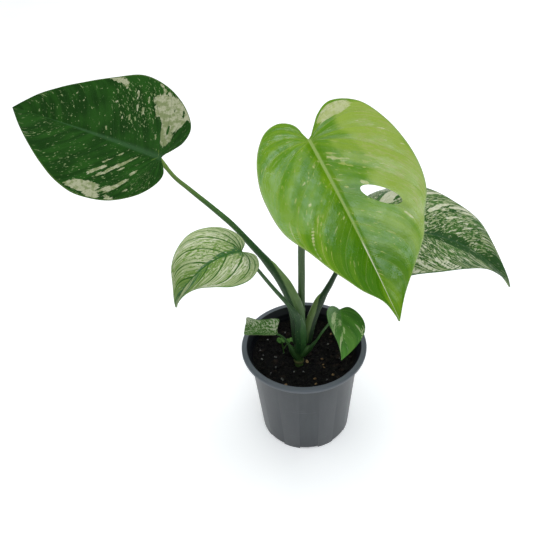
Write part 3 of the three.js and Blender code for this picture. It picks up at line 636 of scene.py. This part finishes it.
def paleMask(tree, leaf, name, spare, soft, *raggedness):  # where the marks let the pale flecks through
    across, along = leaf[name + "Size"]
    streak = stretched(attribute(tree, "streak", "Vector"), (0.5 / across, 0.5 / along, 1))
    flecks = grain(streak, 1, *raggedness)
    density = attribute(tree, name) * spare
    level = flecks * bladeBuild["fleckShare"] + density * bladeBuild["densityShare"]
    return fade(level, bladeBuild["paleLevel"] - soft / 2, bladeBuild["paleLevel"] + soft / 2)


for leaf in leaves:
    makeBlade(leaf)
    print(leaf["name"], "blade made")


# Stalks. A route runs from the stem up to the blade; a section is [share of the length, half width,
# half thickness]. The sheath's pale wing lies on the side wingSide: -1 to the right, 1 to the left.

stalkBuild = {"rings": 190, "sides": 36, "swelling": 0.15, "tone": 0.6, "speckColour": "a9bd80",
              "steps": 400, "relief": 0.2, "ridges": 0.12, "wingRise": 0.25,
              "creaseDepth": 0.5, "creaseWidth": 0.13, "wingBlend": 0.09}
leftLeaf["stalk"] = {
    "route": [(-5.2, -7, 101), (-4.9, -7.6, 126), (-6.9, -7.2, 145), (-13.2, -4.4, 164), (-25, 3.4, 181),
        (-38.8, 12.4, 195.6), (-52.7, 21, 210), (-65.6, 28, 220.4), (-84.9, 38, 235), (-96, 44, 243.5)],
    "sections": [(0, 4.6, 3.8), (0.11, 6.2, 3.4), (0.2, 6.3, 3), (0.3, 5.3, 2.8), (0.4, 4.1, 2.6),
        (0.48, 2.8, 2.5), (0.6, 2.3, 2.2), (1, 1.6, 1.5)],
    "knuckle": 8, "wingSide": -1, "wingEnd": 0.48,
    "body": [(0, "1f3f1c"), (0.25, "2a5523"), (0.5, "2d5a26"), (0.75, "48752c"), (1, "7f9f43")],
    "wing": [(0, "2f5a28"), (0.14, "4c7a3b"), (0.3, "86a862"), (0.48, "9aba74")],
}
centreLeaf["stalk"] = {
    "route": [(-2.6, -1.5, 100), (-1.6, 0.6, 124), (-1.1, -0.6, 146), (-0.6, -2, 173), (-0.2, -3, 199),
        (1.5, -4, 228), (3.3, -4.6, 256), (5, -4.8, 281)],
    "sections": [(0, 3.4, 3), (0.12, 3, 2.8), (0.5, 2.8, 2.6), (1, 2.1, 2)],
    "knuckle": 9, "wingSide": -1, "wingEnd": 0.2,
    "body": [(0, "3a6428"), (0.3, "4b6f35"), (0.7, "577b41"), (1, "86a548")],
    "wing": [(0, "4b7a34"), (0.2, "5f8746")],
}
rightLeaf["stalk"] = {
    "route": [(1.8, -6.2, 101), (5.6, -3.6, 119), (10, -0.4, 132), (15.4, 3, 142), (21.8, 6, 152),
        (31.4, 10, 169), (43.5, 15.5, 181), (53.5, 19, 186.5)],
    "sections": [(0, 4.2, 3.2), (0.16, 4.6, 2.8), (0.34, 4.2, 2.4), (0.46, 2.6, 2.1), (0.6, 2, 1.9),
        (1, 1.7, 1.6)],
    "knuckle": 8, "wingSide": 1, "wingEnd": 0.46,
    "body": [(0, "22421d"), (0.4, "284c25"), (0.7, "31562f"), (1, "4f7a3f")],
    "wing": [(0, "3c6a2c"), (0.15, "7c9a57"), (0.35, "86a55c"), (0.46, "7a9b4f")],
}
mintLeaf["stalk"] = {
    "route": [(-3.4, -11.4, 95), (-3, -14.2, 117), (-4.9, -16, 137), (-12, -16, 153.7), (-23.9, -15.2, 173),
        (-34.4, -14.6, 191), (-41.3, -14.8, 203.6)],
    "sections": [(0, 4.2, 2.6), (0.2, 4.8, 2.1), (0.36, 3.6, 1.8), (0.48, 1.7, 1.6), (1, 1.2, 1.2)],
    "knuckle": 5, "wingSide": -1, "wingEnd": 0.42,
    "body": [(0, "1f4a1e"), (0.35, "285426"), (0.6, "3b6a2d"), (1, "4a7438")],
    "wing": [(0, "2d5a29"), (0.25, "3f7034"), (0.42, "4a7a3c")],
}
smallLeaf["stalk"] = {
    "route": [(-2.2, -11.8, 92), (3, -14.2, 101.5), (9.2, -17, 113.4), (14.7, -20, 127.3), (19.4, -22, 137),
        (24, -23.8, 146.5)],
    "sections": [(0, 3.2, 2.5), (0.15, 3.2, 2.1), (0.27, 1.6, 1.4), (0.4, 1, 1), (1, 0.85, 0.85)],
    "knuckle": 3.5, "wingSide": 1, "wingEnd": 0.25,
    "body": [(0, "2d5526"), (0.4, "2c571f"), (1, "3f7428")],
    "wing": [(0, "35652a"), (0.25, "578044")],
}
cutLeaf["stalk"] = {
    "route": [(-5.6, -10.8, 86), (-9.4, -10.6, 93), (-12.6, -8.8, 101), (-17.8, -5.6, 108.6)],
    "sections": [(0, 2.8, 2.3), (0.35, 2.4, 1.9), (0.55, 1.1, 1), (1, 0.65, 0.65)],
    "knuckle": 3, "wingSide": -1, "wingEnd": 0.6,
    "body": [(0, "2a4f22"), (1, "3f6f2c")],
    "wing": [(0, "33602a"), (0.6, "4c7a3a")],
}
stem = {
    "route": [(-5.6, -10.8, 66), (-5.2, -10.2, 80), (-4.9, -9.2, 90), (-3.8, -7.6, 103)],
    "sections": [(0, 3.4, 3.4), (0.42, 3.9, 3.8), (0.5, 4.3, 4.2), (0.56, 4, 3.9), (0.85, 5, 4.4),
        (1, 4.4, 3.8)],
    "knuckle": 1, "wingSide": 1, "wingEnd": 0, "nodeRing": 0.5,
    "body": [(0, "3f5a2c"), (0.42, "4c6b33"), (0.5, "7a7a4c"), (0.56, "3f662d"), (1, "2c5224")],
    "wing": [(0, "3f662d"), (1, "3f662d")],
}


def sectionAt(sections, share):
    for (a, wideA, thickA), (b, wideB, thickB) in zip(sections, sections[1:]):
        if share <= b:
            k = smooth(a, b, share)
            return lerp(wideA, wideB, k), lerp(thickA, thickB, k)
    return sections[-1][1:]


def ramp(value, stops):
    new = addNode("ShaderNodeValToRGB", {0: value})
    colours = new.color_ramp.elements
    for place, code in stops[1:-1]:
        colours.new(place).color = tint(code)
    colours[0].position, colours[0].color = stops[0][0], tint(stops[0][1])
    colours[-1].position, colours[-1].color = stops[-1][0], tint(stops[-1][1])
    return Signal(new)


def stalkMaterial(build, name):
    material, tree, surface = newMaterial(name)
    along, wing = attribute(tree, "along"), attribute(tree, "wing")
    strand = attribute(tree, "strand", "Vector")
    colour = mixed(wing, ramp(along, build["body"]), ramp(along, build["wing"]))
    fibres = grain(stretched(strand, (1, 1, 0.07)), 1.6, 3, 0.6)
    blotches = grain(stretched(strand, (1, 1, 0.5)), 0.22, 2, 0.5)
    colour = toned(colour, (fibres * 0.6 + blotches * 0.6 + 0.4) * stalkBuild["tone"])
    specks = fade(grain(stretched(strand, (1, 1, 0.4)), 1.5, 2, 0.5), 0.66, 0.72)
    colour = mixed(specks * 0.35, colour, tint(stalkBuild["speckColour"]))
    relief = fibres + blotches * 0.6
    fill(surface, {
        "Base Color": colour, "Roughness": blotches * 0.25 + 0.28, "Specular IOR Level": 0.35,
        "Normal": bumped(relief, stalkBuild["relief"] * mm, 0.6)})
    return material


def makeStalk(build, name, node, end=None):
    steps, knuckle, blend = stalkBuild["steps"], build["knuckle"], stalkBuild["wingBlend"]
    route = curveThrough([*build["route"], *([end] if end else [])], steps)
    length = sum((b - a).length for a, b in zip(route, route[1:]))
    rings, sides = stalkBuild["rings"], stalkBuild["sides"]
    if end is None:
        rings //= 2
    shape = bmesh.new()
    bmesh.ops.create_grid(shape, x_segments=rings, y_segments=sides, size=1)
    layers = {key: shape.verts.layers.float.new(key) for key in ("along", "wing")}
    strand = shape.verts.layers.float_vector.new("strand")
    for point in shape.verts:
        row = (point.co.x + 1) / 2
        share = smooth(0, 1, row) * 0.3 + row * 0.7  # rings stand closer at both ends
        turn = math.pi * (point.co.y + 1)
        at = min(int(share * steps), steps - 1)
        centre = route[at].lerp(route[at + 1], share * steps - at)
        tangent = (route[min(at + 4, steps)] - route[max(at - 4, 0)]).normalized()
        across = tangent.cross(Vector((0, 1, 0))).normalized()
        through = across.cross(tangent).normalized()
        wide, thick = sectionAt(build["sections"], share)
        swell = 1 + stalkBuild["swelling"] * smooth(length - 1.4 * knuckle, length - knuckle,
                                                    share * length)
        ending = min(share, 1 - share) * length / (thick * 0.8)
        dome = math.sqrt(1 - (1 - min(ending, 1)) ** 2)
        x, y = math.cos(turn), math.sin(turn)
        toWing = x * build["wingSide"]
        edge = lerp(-0.08, 1.25, smooth(build["wingEnd"] * 0.55, build["wingEnd"] + 0.02, share))
        wing = smooth(edge - blend, edge + blend, toWing) if build["wingEnd"] else 0
        creased = build["wingEnd"] and share < build["wingEnd"]
        crease = bell(toWing - edge, stalkBuild["creaseWidth"]) * stalkBuild["creaseDepth"] if creased else 0
        lines = stalkBuild["ridges"] * noise.noise(Vector((2.4 * x, 2.4 * y, share * length / 18)))
        ring = 0.35 * bell(share - build["nodeRing"], 0.012) if "nodeRing" in build else 0
        grow = lines - crease * smooth(0, 0.06, share) + stalkBuild["wingRise"] * wing + ring
        offset = across * x * (wide * swell + grow) + through * y * (thick * swell + grow)
        point.co = centre + offset * dome
        point[layers["along"]] = share
        point[layers["wing"]] = wing
        point[strand] = (x * wide, y * thick, share * length)
    bmesh.ops.remove_doubles(shape, verts=shape.verts, dist=0.0008)
    finishPiece(shape, name, [stalkMaterial(build, name)], node)


for leaf in leaves:
    end = bladePoint(leaf, 0.6, 0, -0.8 * leaf["ribRadius"])
    makeStalk(leaf["stalk"], leaf["name"].replace("_leaf", "LeafStalk"),
              leaf["name"] + "_stalk", end)
makeStalk(stem, "mainStem", "stem")
print("stalks and stem made")


# Pot

pot = {
    "wall": 1.2, "bodyTopRadius": 47.4, "baseRadius": 39.5, "rimDrop": 3.4, "rimLipRadius": 49.3,
    "rimRound": 0.9, "rimSlack": 0.4, "shoulderHeight": 88.5, "footWidth": 2.6, "floorRise": 2.5,
    "padRadius": 9,
    "notches": 8, "notchWidth": 16, "notchHeight": 2, "drainHoles": 6, "drainRadius": 3.5, "drainCircle": 24,
    "steps": 180, "softEdge": 0.3, "innerShoulder": (0.641,
                                                     -9.53),  # its radius for its height: slope, offset
    "edges": {"inside": (-0.4, -0.9), "top": (94.05, 93.6), "rimHighlightSide": (48.4, 48.8),
              "rimHighlightFoot": (88.2, 88.6),
              "underRimShadeFoot": (86.8, 88.2), "underRimShadeTop": (89.8, 89.3), "footWear": (4, 0)},
    # The near-black colour 14171b is painted shade, for the inside of the pot and a band under the rim; the
    # rim colour is painted paler than the body, painted light on the lip.
    "colour": "373b3f", "paler": "404548", "rim": "5c6268", "inner": "14171b", "scuff": "63686c",
    "roughness": 0.42, "relief": 0.06,
}
potTaper = (pot["bodyTopRadius"] - pot["baseRadius"]) / (potHeight - pot["rimDrop"])


def potOutside(z):
    return pot["baseRadius"] + potTaper * z


def potProfile():  # half of a section, from the middle of the underside round to the middle of the floor
    wall, slack, rise, pad, base, foot, shoulder, lip = (pot[key] for key in (
        "wall", "rimSlack", "floorRise", "padRadius", "baseRadius", "footWidth",
        "shoulderHeight", "rimLipRadius"))
    floorTop = rise + wall
    underRim = potHeight - wall - slack
    skirtFoot = potHeight - pot["rimDrop"]
    skirt = rimRadius - wall
    ledge = shoulder - 4
    return [
        (0, 0), (pad, 0), (pad + rise, rise), (base - foot - 1, rise), (base - foot, 0), (base, 0),
        (potOutside(shoulder), shoulder), (lip + slack, underRim), (skirt - slack, underRim),
        (skirt, skirtFoot), (rimRadius - slack, skirtFoot), (rimRadius, skirtFoot + slack),
        (rimRadius, potHeight - pot["rimRound"]), (rimRadius - pot["rimRound"], potHeight),
        (lip + slack, potHeight), (lip, potHeight - slack), (potOutside(shoulder) - wall, shoulder),
        (potOutside(ledge) - wall, ledge + 0.5), (potOutside(ledge) - wall - 0.35, ledge),
        (potOutside(floorTop + 1) - wall, floorTop + 1), (potOutside(floorTop) - wall - 1, floorTop),
        (pad + rise - wall / 2, floorTop), (pad - wall / 2, wall), (0, wall),
    ]


def cutAway(shape, cutter):  # takes one closed shape out of another
    holders = [addObject(name, meshOf(part, name)) for name, part in (("whole", shape), ("cutter", cutter))]
    cut = holders[0].modifiers.new("cut", "BOOLEAN")
    cut.object = holders[1]
    cut.solver = "EXACT"
    evaluated = holders[0].evaluated_get(bpy.context.evaluated_depsgraph_get())
    result = bmesh.new()
    result.from_mesh(evaluated.to_mesh())
    for holder in holders:
        mesh = holder.data
        bpy.data.objects.remove(holder)
        bpy.data.meshes.remove(mesh)
    return result


def potMaterial():
    material, tree, surface = newMaterial("mouldedPlastic")
    place = objectPlace(tree)
    x, y, z = split(place)
    radius = maths("SQRT", x * x + y * y)

    def edge(value, name):  # from 0 to 1 across one of the edges
        low, high = pot["edges"][name]
        return fade(value, low * mm, high * mm)

    steepness, offset = pot["innerShoulder"]
    innerWall = maths("MAXIMUM", z * potTaper + pot["baseRadius"] * mm, z * steepness + offset * mm)
    paintedShadeInside = edge(radius - innerWall, "inside") * edge(z, "top")
    clouds = grain(place, 40, 3, 0.6)
    flow = grain(stretched(place, (1, 1, 0.12)), 160, 3, 0.6)
    colour = mixed(fade(clouds * 0.5 + flow * 0.5, 0.35, 0.65), tint(pot["colour"]), tint(pot["paler"]))
    # Painted light: the rim lip, top and outer side, is painted paler than the body for the light it catches
    colour = mixed(edge(radius, "rimHighlightSide") * edge(z, "rimHighlightFoot"), colour, tint(pot["rim"]))
    # Painted shade: a dark band round the body just under the rim's overhang
    underRimShade = edge(z, "underRimShadeFoot") * edge(z, "underRimShadeTop")
    colour = mixed(underRimShade * 0.6, colour, tint(pot["inner"]))
    # Painted shade: the whole inside of the pot, down to its floor, is painted near-black
    colour = mixed(paintedShadeInside, colour, tint(pot["inner"]))
    dust = fade(grain(place, 1300, 2, 0.5), 0.7, 0.76)
    scratches = fade(grain(stretched(place, (1, 1, 14)), 60, 2, 0.5, 1.5), 0.68, 0.72)
    wear = maths("MAXIMUM", dust, scratches) * 0.25
    footWear = edge(z, "footWear") * fade(clouds, 0.4, 0.6)
    wear = maths("MAXIMUM", wear, footWear * 0.3)
    colour = mixed(wear, colour, tint(pot["scuff"]))
    pebble = grain(place, 2200, 2, 0.6) + flow * 0.6
    rough = clouds * 0.16 + (pot["roughness"] - 0.08)
    fill(surface, {
        "Base Color": colour, "Roughness": rough - paintedShadeInside * 0.1, "Specular IOR Level": 0.4,
        "Normal": bumped(pebble, pot["relief"] * mm, 0.5)})
    return material


def makePot():
    shape = bmesh.new()
    corners = [shape.verts.new((r, 0, z)) for r, z in potProfile()]
    section = corners + [shape.edges.new(pair) for pair in zip(corners, corners[1:])]
    bmesh.ops.spin(shape, geom=section, cent=(0, 0, 0), axis=(0, 0, 1), dvec=(0, 0, 0), angle=2 * math.pi,
                   steps=pot["steps"], use_merge=True, use_normal_flip=False, use_duplicate=False)
    bmesh.ops.remove_doubles(shape, verts=shape.verts, dist=0.001)
    bmesh.ops.recalc_face_normals(shape, faces=shape.faces)
    hard = [e for e in shape.edges if e.is_manifold and e.calc_face_angle() > math.radians(20)]
    bmesh.ops.bevel(shape, geom=hard, offset=pot["softEdge"], offset_type="OFFSET", segments=2, profile=0.5,
                    affect="EDGES", material=-1, clamp_overlap=True)
    cutter = bmesh.new()
    for i in range(pot["notches"]):
        turn = Matrix.Rotation((i / pot["notches"] - 0.25) * 2 * math.pi, 4, "Z")
        size = Matrix.Diagonal((3 * pot["footWidth"], pot["notchWidth"], 2 * pot["notchHeight"], 1))
        away = Matrix.Translation((pot["baseRadius"], 0, 0))
        bmesh.ops.create_cube(cutter, size=1, matrix=turn @ away @ size)
    for i in range(pot["drainHoles"]):
        turn = Matrix.Rotation(i / pot["drainHoles"] * 2 * math.pi, 4, "Z")
        away = Matrix.Translation((pot["drainCircle"], 0, 0))
        bmesh.ops.create_cone(cutter, cap_ends=True, segments=32, radius1=pot["drainRadius"],
                              radius2=pot["drainRadius"], depth=4 * pot["floorRise"], matrix=turn @ away)
    shape = cutAway(shape, cutter)
    finishPiece(shape, "nurseryPot", [potMaterial()], "pot", 35)


makePot()
print("pot made")


# Potting mix: one closed body with a lumpy top, and loose bits pressed into it

soil = {
    "level": 80, "dish": 1.5, "gap": 0.3, "lump": 1.3, "grit": 0.8, "rings": 96, "sides": 230,
    "crumbs": 900, "crumbSizes": (0.35, 1.7), "chips": 60, "chipSizes": (1.4, 3.6), "seed": 7,
    "perlite": [(-38.4, 6.7, 2), (-37, -3.1, 1.8), (-35.5, 0.5, 1.3), (-24.7, -1.8, 1.7),
        (-25.3, -13.6, 1.5), (-20.9, -27.8, 1.8), (-10.1, -19.6, 1.2), (-2.5, -20.2, 1.2), (-17.4, 3.6, 1),
        (22, 10, 1.3), (30, -8, 1.1), (10, 25, 1.5), (-15, 28, 1.4), (34, 14, 1.2), (5, 36, 1.1),
        (-31, 20, 1.3), (17, -31, 1), (-30, -20, 1.2)],
    "barkBits": [(1.9, -8.9, 1.9), (15, -7.6, 1.2), (15.3, -13.6, 1.3), (15.8, -17.1, 1.1), (7, -29, 1.4),
        (7.2, -35.8, 1.3), (-17.9, -34.8, 1.8), (22.5, -26.9, 1.4), (26, 22, 1.6), (-8, 33, 1.5)],
    "looks": {  # dark, light, roughness, scale of the clods, wet gleam
        "pottingMix": ("030303", "120e0c", 0.85, 420, 0.4), "barkChips": ("070504", "241a13", 0.75, 300,
                                                                          0.3),
        "barkBits": ("4d3a25", "a58a63", 0.7, 500, 0.1), "perlite": ("3e3f3e", "9b9b97", 0.9, 700, 0)},
}


def soilHeight(x, y):
    radius = potOutside(soil["level"]) - pot["wall"] - soil["gap"]
    out = math.hypot(x, y) / radius
    place = Vector((x, y, soil["seed"]))
    lumps = soil["lump"] * noise.noise(place / 5.5) + soil["grit"] * noise.noise(place / 1.9)
    crumbly = 0.5 * soil["grit"] * abs(noise.noise(place / 0.8))
    return soil["level"] + soil["dish"] * out ** 2 + (lumps + crumbly) * smooth(1, 0.93, out)


def earthMaterial(name):
    dark, light, roughness, scale, wet = soil["looks"][name]
    material, tree, surface = newMaterial(name)
    place = objectPlace(tree)
    clods = grain(place, scale, 4, 0.65)
    fine = grain(place, scale * 6, 3, 0.6)
    level = clods * 0.65 + fine * 0.35
    colour = mixed(fade(level, 0.4, 0.66), tint(dark), tint(light))
    gleam = fade(clods, 0.55, 0.68) * wet
    fill(surface, {
        "Base Color": colour, "Roughness": roughness - gleam, "Specular IOR Level": 0.3,
        "Normal": bumped(level, 0.0008, 0.8)})
    return material


def addBit(shape, chance, x, y, size, flat, sink, detail):
    squash = Matrix.Diagonal((size, size * chance.uniform(0.6, 1), size * flat * chance.uniform(0.6, 1), 1))
    turned = Euler((chance.uniform(-0.5, 0.5), chance.uniform(-0.5, 0.5),
                    chance.uniform(0, 6.3))).to_matrix()
    place = Matrix.Translation((x, y, soilHeight(x, y) + (0.5 - sink) * size * flat))
    made = bmesh.ops.create_icosphere(shape, subdivisions=detail, radius=1,
                                      matrix=place @ turned.to_4x4() @ squash)
    for point in made["verts"]:
        point.co += 0.3 * size * noise.noise_vector(point.co / (0.8 * size))


def scatter(shape, chance, reach, count, sizes, power, *bit):  # bit: flatness, sink and detail of each
    for _ in range(count):
        r, turn = reach * math.sqrt(chance.random()), 2 * math.pi * chance.random()
        addBit(shape, chance, r * math.cos(turn), r * math.sin(turn),
               lerp(*sizes, chance.random() ** power), *bit)


def makeSoil():
    noise.seed_set(soil["seed"])  # noise_vector would otherwise start from the clock
    chance = random.Random(soil["seed"])
    topRadius = potOutside(soil["level"]) - pot["wall"] - soil["gap"]
    bottom = pot["floorRise"] + pot["wall"] + soil["gap"]
    shape = bmesh.new()
    bmesh.ops.create_grid(shape, x_segments=soil["rings"], y_segments=soil["sides"], size=1)
    for point in shape.verts:
        r, turn = topRadius * (point.co.x + 1) / 2, math.pi * (point.co.y + 1)
        x, y = r * math.cos(turn), r * math.sin(turn)
        point.co = (x, y, soilHeight(x, y))
    bmesh.ops.remove_doubles(shape, verts=shape.verts, dist=0.003)
    ring = [e for e in shape.edges if e.is_boundary]
    for z, inset in ((bottom + 1, 0), (bottom, 1)):
        pulled = bmesh.ops.extrude_edge_only(shape, edges=ring)["geom"]
        ring = [item for item in pulled if isinstance(item, bmesh.types.BMEdge)]
        radius = potOutside(z) - pot["wall"] - soil["gap"] - inset
        for point in (item for item in pulled if isinstance(item, bmesh.types.BMVert)):
            point.co = (*(point.co.xy.normalized() * radius), z)
    bmesh.ops.edgeloop_fill(shape, edges=[e for e in ring if e.is_boundary])
    scatter(shape, chance, topRadius - 2, soil["crumbs"], soil["crumbSizes"], 2.5, 0.8, 0.15, 1)
    finishPiece(shape, "pottingMix", [earthMaterial("pottingMix")], "soil", 60)

    chips, bark, perlite = bmesh.new(), bmesh.new(), bmesh.new()
    scatter(chips, chance, topRadius - 4, soil["chips"], soil["chipSizes"], 2, 0.35, 0.3, 2)
    for x, y, size in soil["barkBits"]:
        addBit(bark, chance, x, y, size, 0.6, 0, 2)
    for x, y, size in soil["perlite"]:
        addBit(perlite, chance, x, y, size * 0.62, 0.9, -0.1, 2)
        addBit(perlite, chance, x + chance.uniform(-1.5, 1.5), y + chance.uniform(-1.5, 1.5), size * 0.35,
               1, 0, 2)
    for name, bits in (("barkChips", chips), ("barkBits", bark), ("perlite", perlite)):
        finishPiece(bits, name, [earthMaterial(name)], None, 60)


makeSoil()
print("potting mix made")


# Clover seedling

clover = {
    "root": (-17.5, 3, 73), "crown": (-19.2, 4, 97), "side": (-11.6, 6, 93), "fork": (-17.9, 3.4, 85),
    "stemRadius": 0.55, "leaflet": 4.2, "thickness": 0.45, "crownHeadings": [95, 215, 335],
    "sideHeadings": [20, 200], "droop": 12, "deep": "2f5a1c", "light": "4f7f30", "pale": "86a45c",
}


def addStem(shape, points, radius):
    steps, sides = 24, 10  # along the stem and round it
    route = curveThrough(points, steps)
    grid = bmesh.ops.create_grid(shape, x_segments=steps, y_segments=sides, size=1)["verts"]
    for point in grid:
        i = round((point.co.x + 1) / 2 * steps)
        turn = math.pi * (point.co.y + 1)
        tangent = (route[min(i + 1, steps)] - route[max(i - 1, 0)]).normalized()
        across = tangent.cross(Vector((0, 1, 0))).normalized()
        through = across.cross(tangent)
        ended = 0 if i in (0, steps) else radius
        point.co = route[i] + (across * math.cos(turn) + through * math.sin(turn)) * ended
    bmesh.ops.remove_doubles(shape, verts=grid, dist=0.0008)


def addLeaflet(shape, at, heading):  # a notched heart, folded along its middle
    size = clover["leaflet"]
    made = bmesh.ops.create_grid(shape, x_segments=10, y_segments=28, size=1)["verts"]
    place = Matrix.Translation(at) @ Matrix.Rotation(math.radians(heading), 4, "Z")
    place = place @ Matrix.Rotation(math.radians(clover["droop"]), 4, "Y")
    for point in made:
        out, turn = (point.co.x + 1) / 2, math.pi * (point.co.y + 1)
        notch = 1 - 0.3 * bell(math.sin(turn / 2), 0.25)
        x = size * (0.42 + 0.62 * out * math.cos(turn) * notch)
        y = size * 0.72 * out * math.sin(turn) * (0.75 + 0.35 * x / size)
        point.co = place @ Vector((x, y, 0.3 * abs(y) - 0.06 * x * x))
    bmesh.ops.remove_doubles(shape, verts=made, dist=0.0008)


def makeClover():
    stems, leaflets = bmesh.new(), bmesh.new()
    addStem(stems, [clover["root"], clover["fork"], clover["crown"]], clover["stemRadius"])
    addStem(stems,
            [clover["fork"], lerp(Vector(clover["fork"]), Vector(clover["side"]), 0.5), clover["side"]],
            clover["stemRadius"] * 0.8)
    for heading in clover["crownHeadings"]:
        addLeaflet(leaflets, clover["crown"], heading)
    for heading in clover["sideHeadings"]:
        addLeaflet(leaflets, clover["side"], heading)
    bmesh.ops.recalc_face_normals(leaflets, faces=leaflets.faces)
    bmesh.ops.solidify(leaflets, geom=leaflets.faces, thickness=clover["thickness"])
    material, tree, surface = newMaterial("cloverGreen")
    place = objectPlace(tree)
    tone = grain(place, 700, 3, 0.6)
    colour = mixed(fade(tone, 0.35, 0.65), tint(clover["deep"]), tint(clover["light"]))
    pale = fade(grain(place, 260, 2, 0.5), 0.6, 0.68)
    colour = mixed(pale * 0.5, colour, tint(clover["pale"]))
    fill(surface, {"Base Color": colour, "Roughness": 0.55, "Normal": bumped(tone, 0.0002)})
    finishPiece(stems, "cloverStems", [material], "clover_seedling")
    finishPiece(leaflets, "cloverLeaflets", [material], None)


makeClover()
print("clover made")


# Floor, camera and light

studio = {
    "floorSize": 4.0,
    "cameraPlace": (-28.0, -460.0, 558.4),
    "cameraTilt": 39.25,  # below level
    "cameraRoll": 3.616,
    "focalPixels": 751.4,
    "imageWidth": 533,
    "worldLight": 0.25, "worldColour": "f2f7ff",
    "floorGlow": 0.3, "floorColours": ("f4f6f6", "f9fafa"),
    "lights": [  # name, aims at, from (a direction), distance, width, height, power, colour, seen in gloss
        ("overhead", (0, 0, 150), (0.05, 0.1, 1), 1500, 2400, 2400, 34, "ffffff", False),
        ("front", (40, -50, 250), (0.0, -0.62, 0.78), 1100, 420, 300, 2.2, "eaf4ff", True),
        ("window", (20, -40, 260), (0.81, 0.445, 0.38), 1100, 190, 190, 0.5, "dfeeff", True),
    ],
}


def makeFloor():
    shape = bmesh.new()
    bmesh.ops.create_grid(shape, x_segments=8, y_segments=8, size=studio["floorSize"] / 2)
    mesh = meshOf(shape, "floor")
    material, tree, surface = newMaterial("paleFloor")
    soft = grain(objectPlace(tree), 9, 3, 0.6)
    pale = mixed(fade(soft, 0.3, 0.7), *(tint(code) for code in studio["floorColours"]))
    fill(surface, {"Base Color": pale, "Roughness": 0.8, "Specular IOR Level": 0.1,
                               "Emission Color": tint("ffffff"), "Emission Strength": studio["floorGlow"]})
    mesh.materials.append(material)
    floor = addObject("floor", mesh)


def makeCamera():
    tilt, roll = math.radians(studio["cameraTilt"]), math.radians(studio["cameraRoll"])
    ahead = Vector((0, math.cos(tilt), -math.sin(tilt)))
    level, up = Vector((1, 0, 0)), Vector((0, math.sin(tilt), math.cos(tilt)))
    right = level * math.cos(roll) - up * math.sin(roll)
    upright = level * math.sin(roll) + up * math.cos(roll)
    data = bpy.data.cameras.new("photoView")
    data.sensor_fit = "HORIZONTAL"
    data.lens = studio["focalPixels"] * data.sensor_width / studio["imageWidth"]
    turned = Matrix((right, upright, -ahead)).transposed().to_4x4()
    view = addObject("photoView", data)
    view.matrix_world = Matrix.Translation(Vector(studio["cameraPlace"]) * mm) @ turned
    scene.camera = view


def makeLights():
    for name, target, way, distance, width, height, power, colour, inGloss in studio["lights"]:
        data = bpy.data.lights.new(name, "AREA")
        data.shape = "RECTANGLE"
        data.size, data.size_y = width * mm, height * mm
        data.energy = power
        data.color = tint(colour)[:3]
        lamp = addObject(name, data)
        lamp.visible_glossy = inGloss
        lamp.location = (Vector(target) + Vector(way).normalized() * distance) * mm
        lamp.rotation_euler = Vector(way).to_track_quat("Z", "Y").to_euler()
    world = bpy.data.worlds.new("studio")
    world.use_nodes = True
    world.node_tree.nodes["Background"].inputs["Color"].default_value = tint(studio["worldColour"])
    world.node_tree.nodes["Background"].inputs["Strength"].default_value = studio["worldLight"]
    scene.world = world


makeFloor()
makeCamera()
makeLights()
scene.view_settings.view_transform = "Standard"
print("studio made")
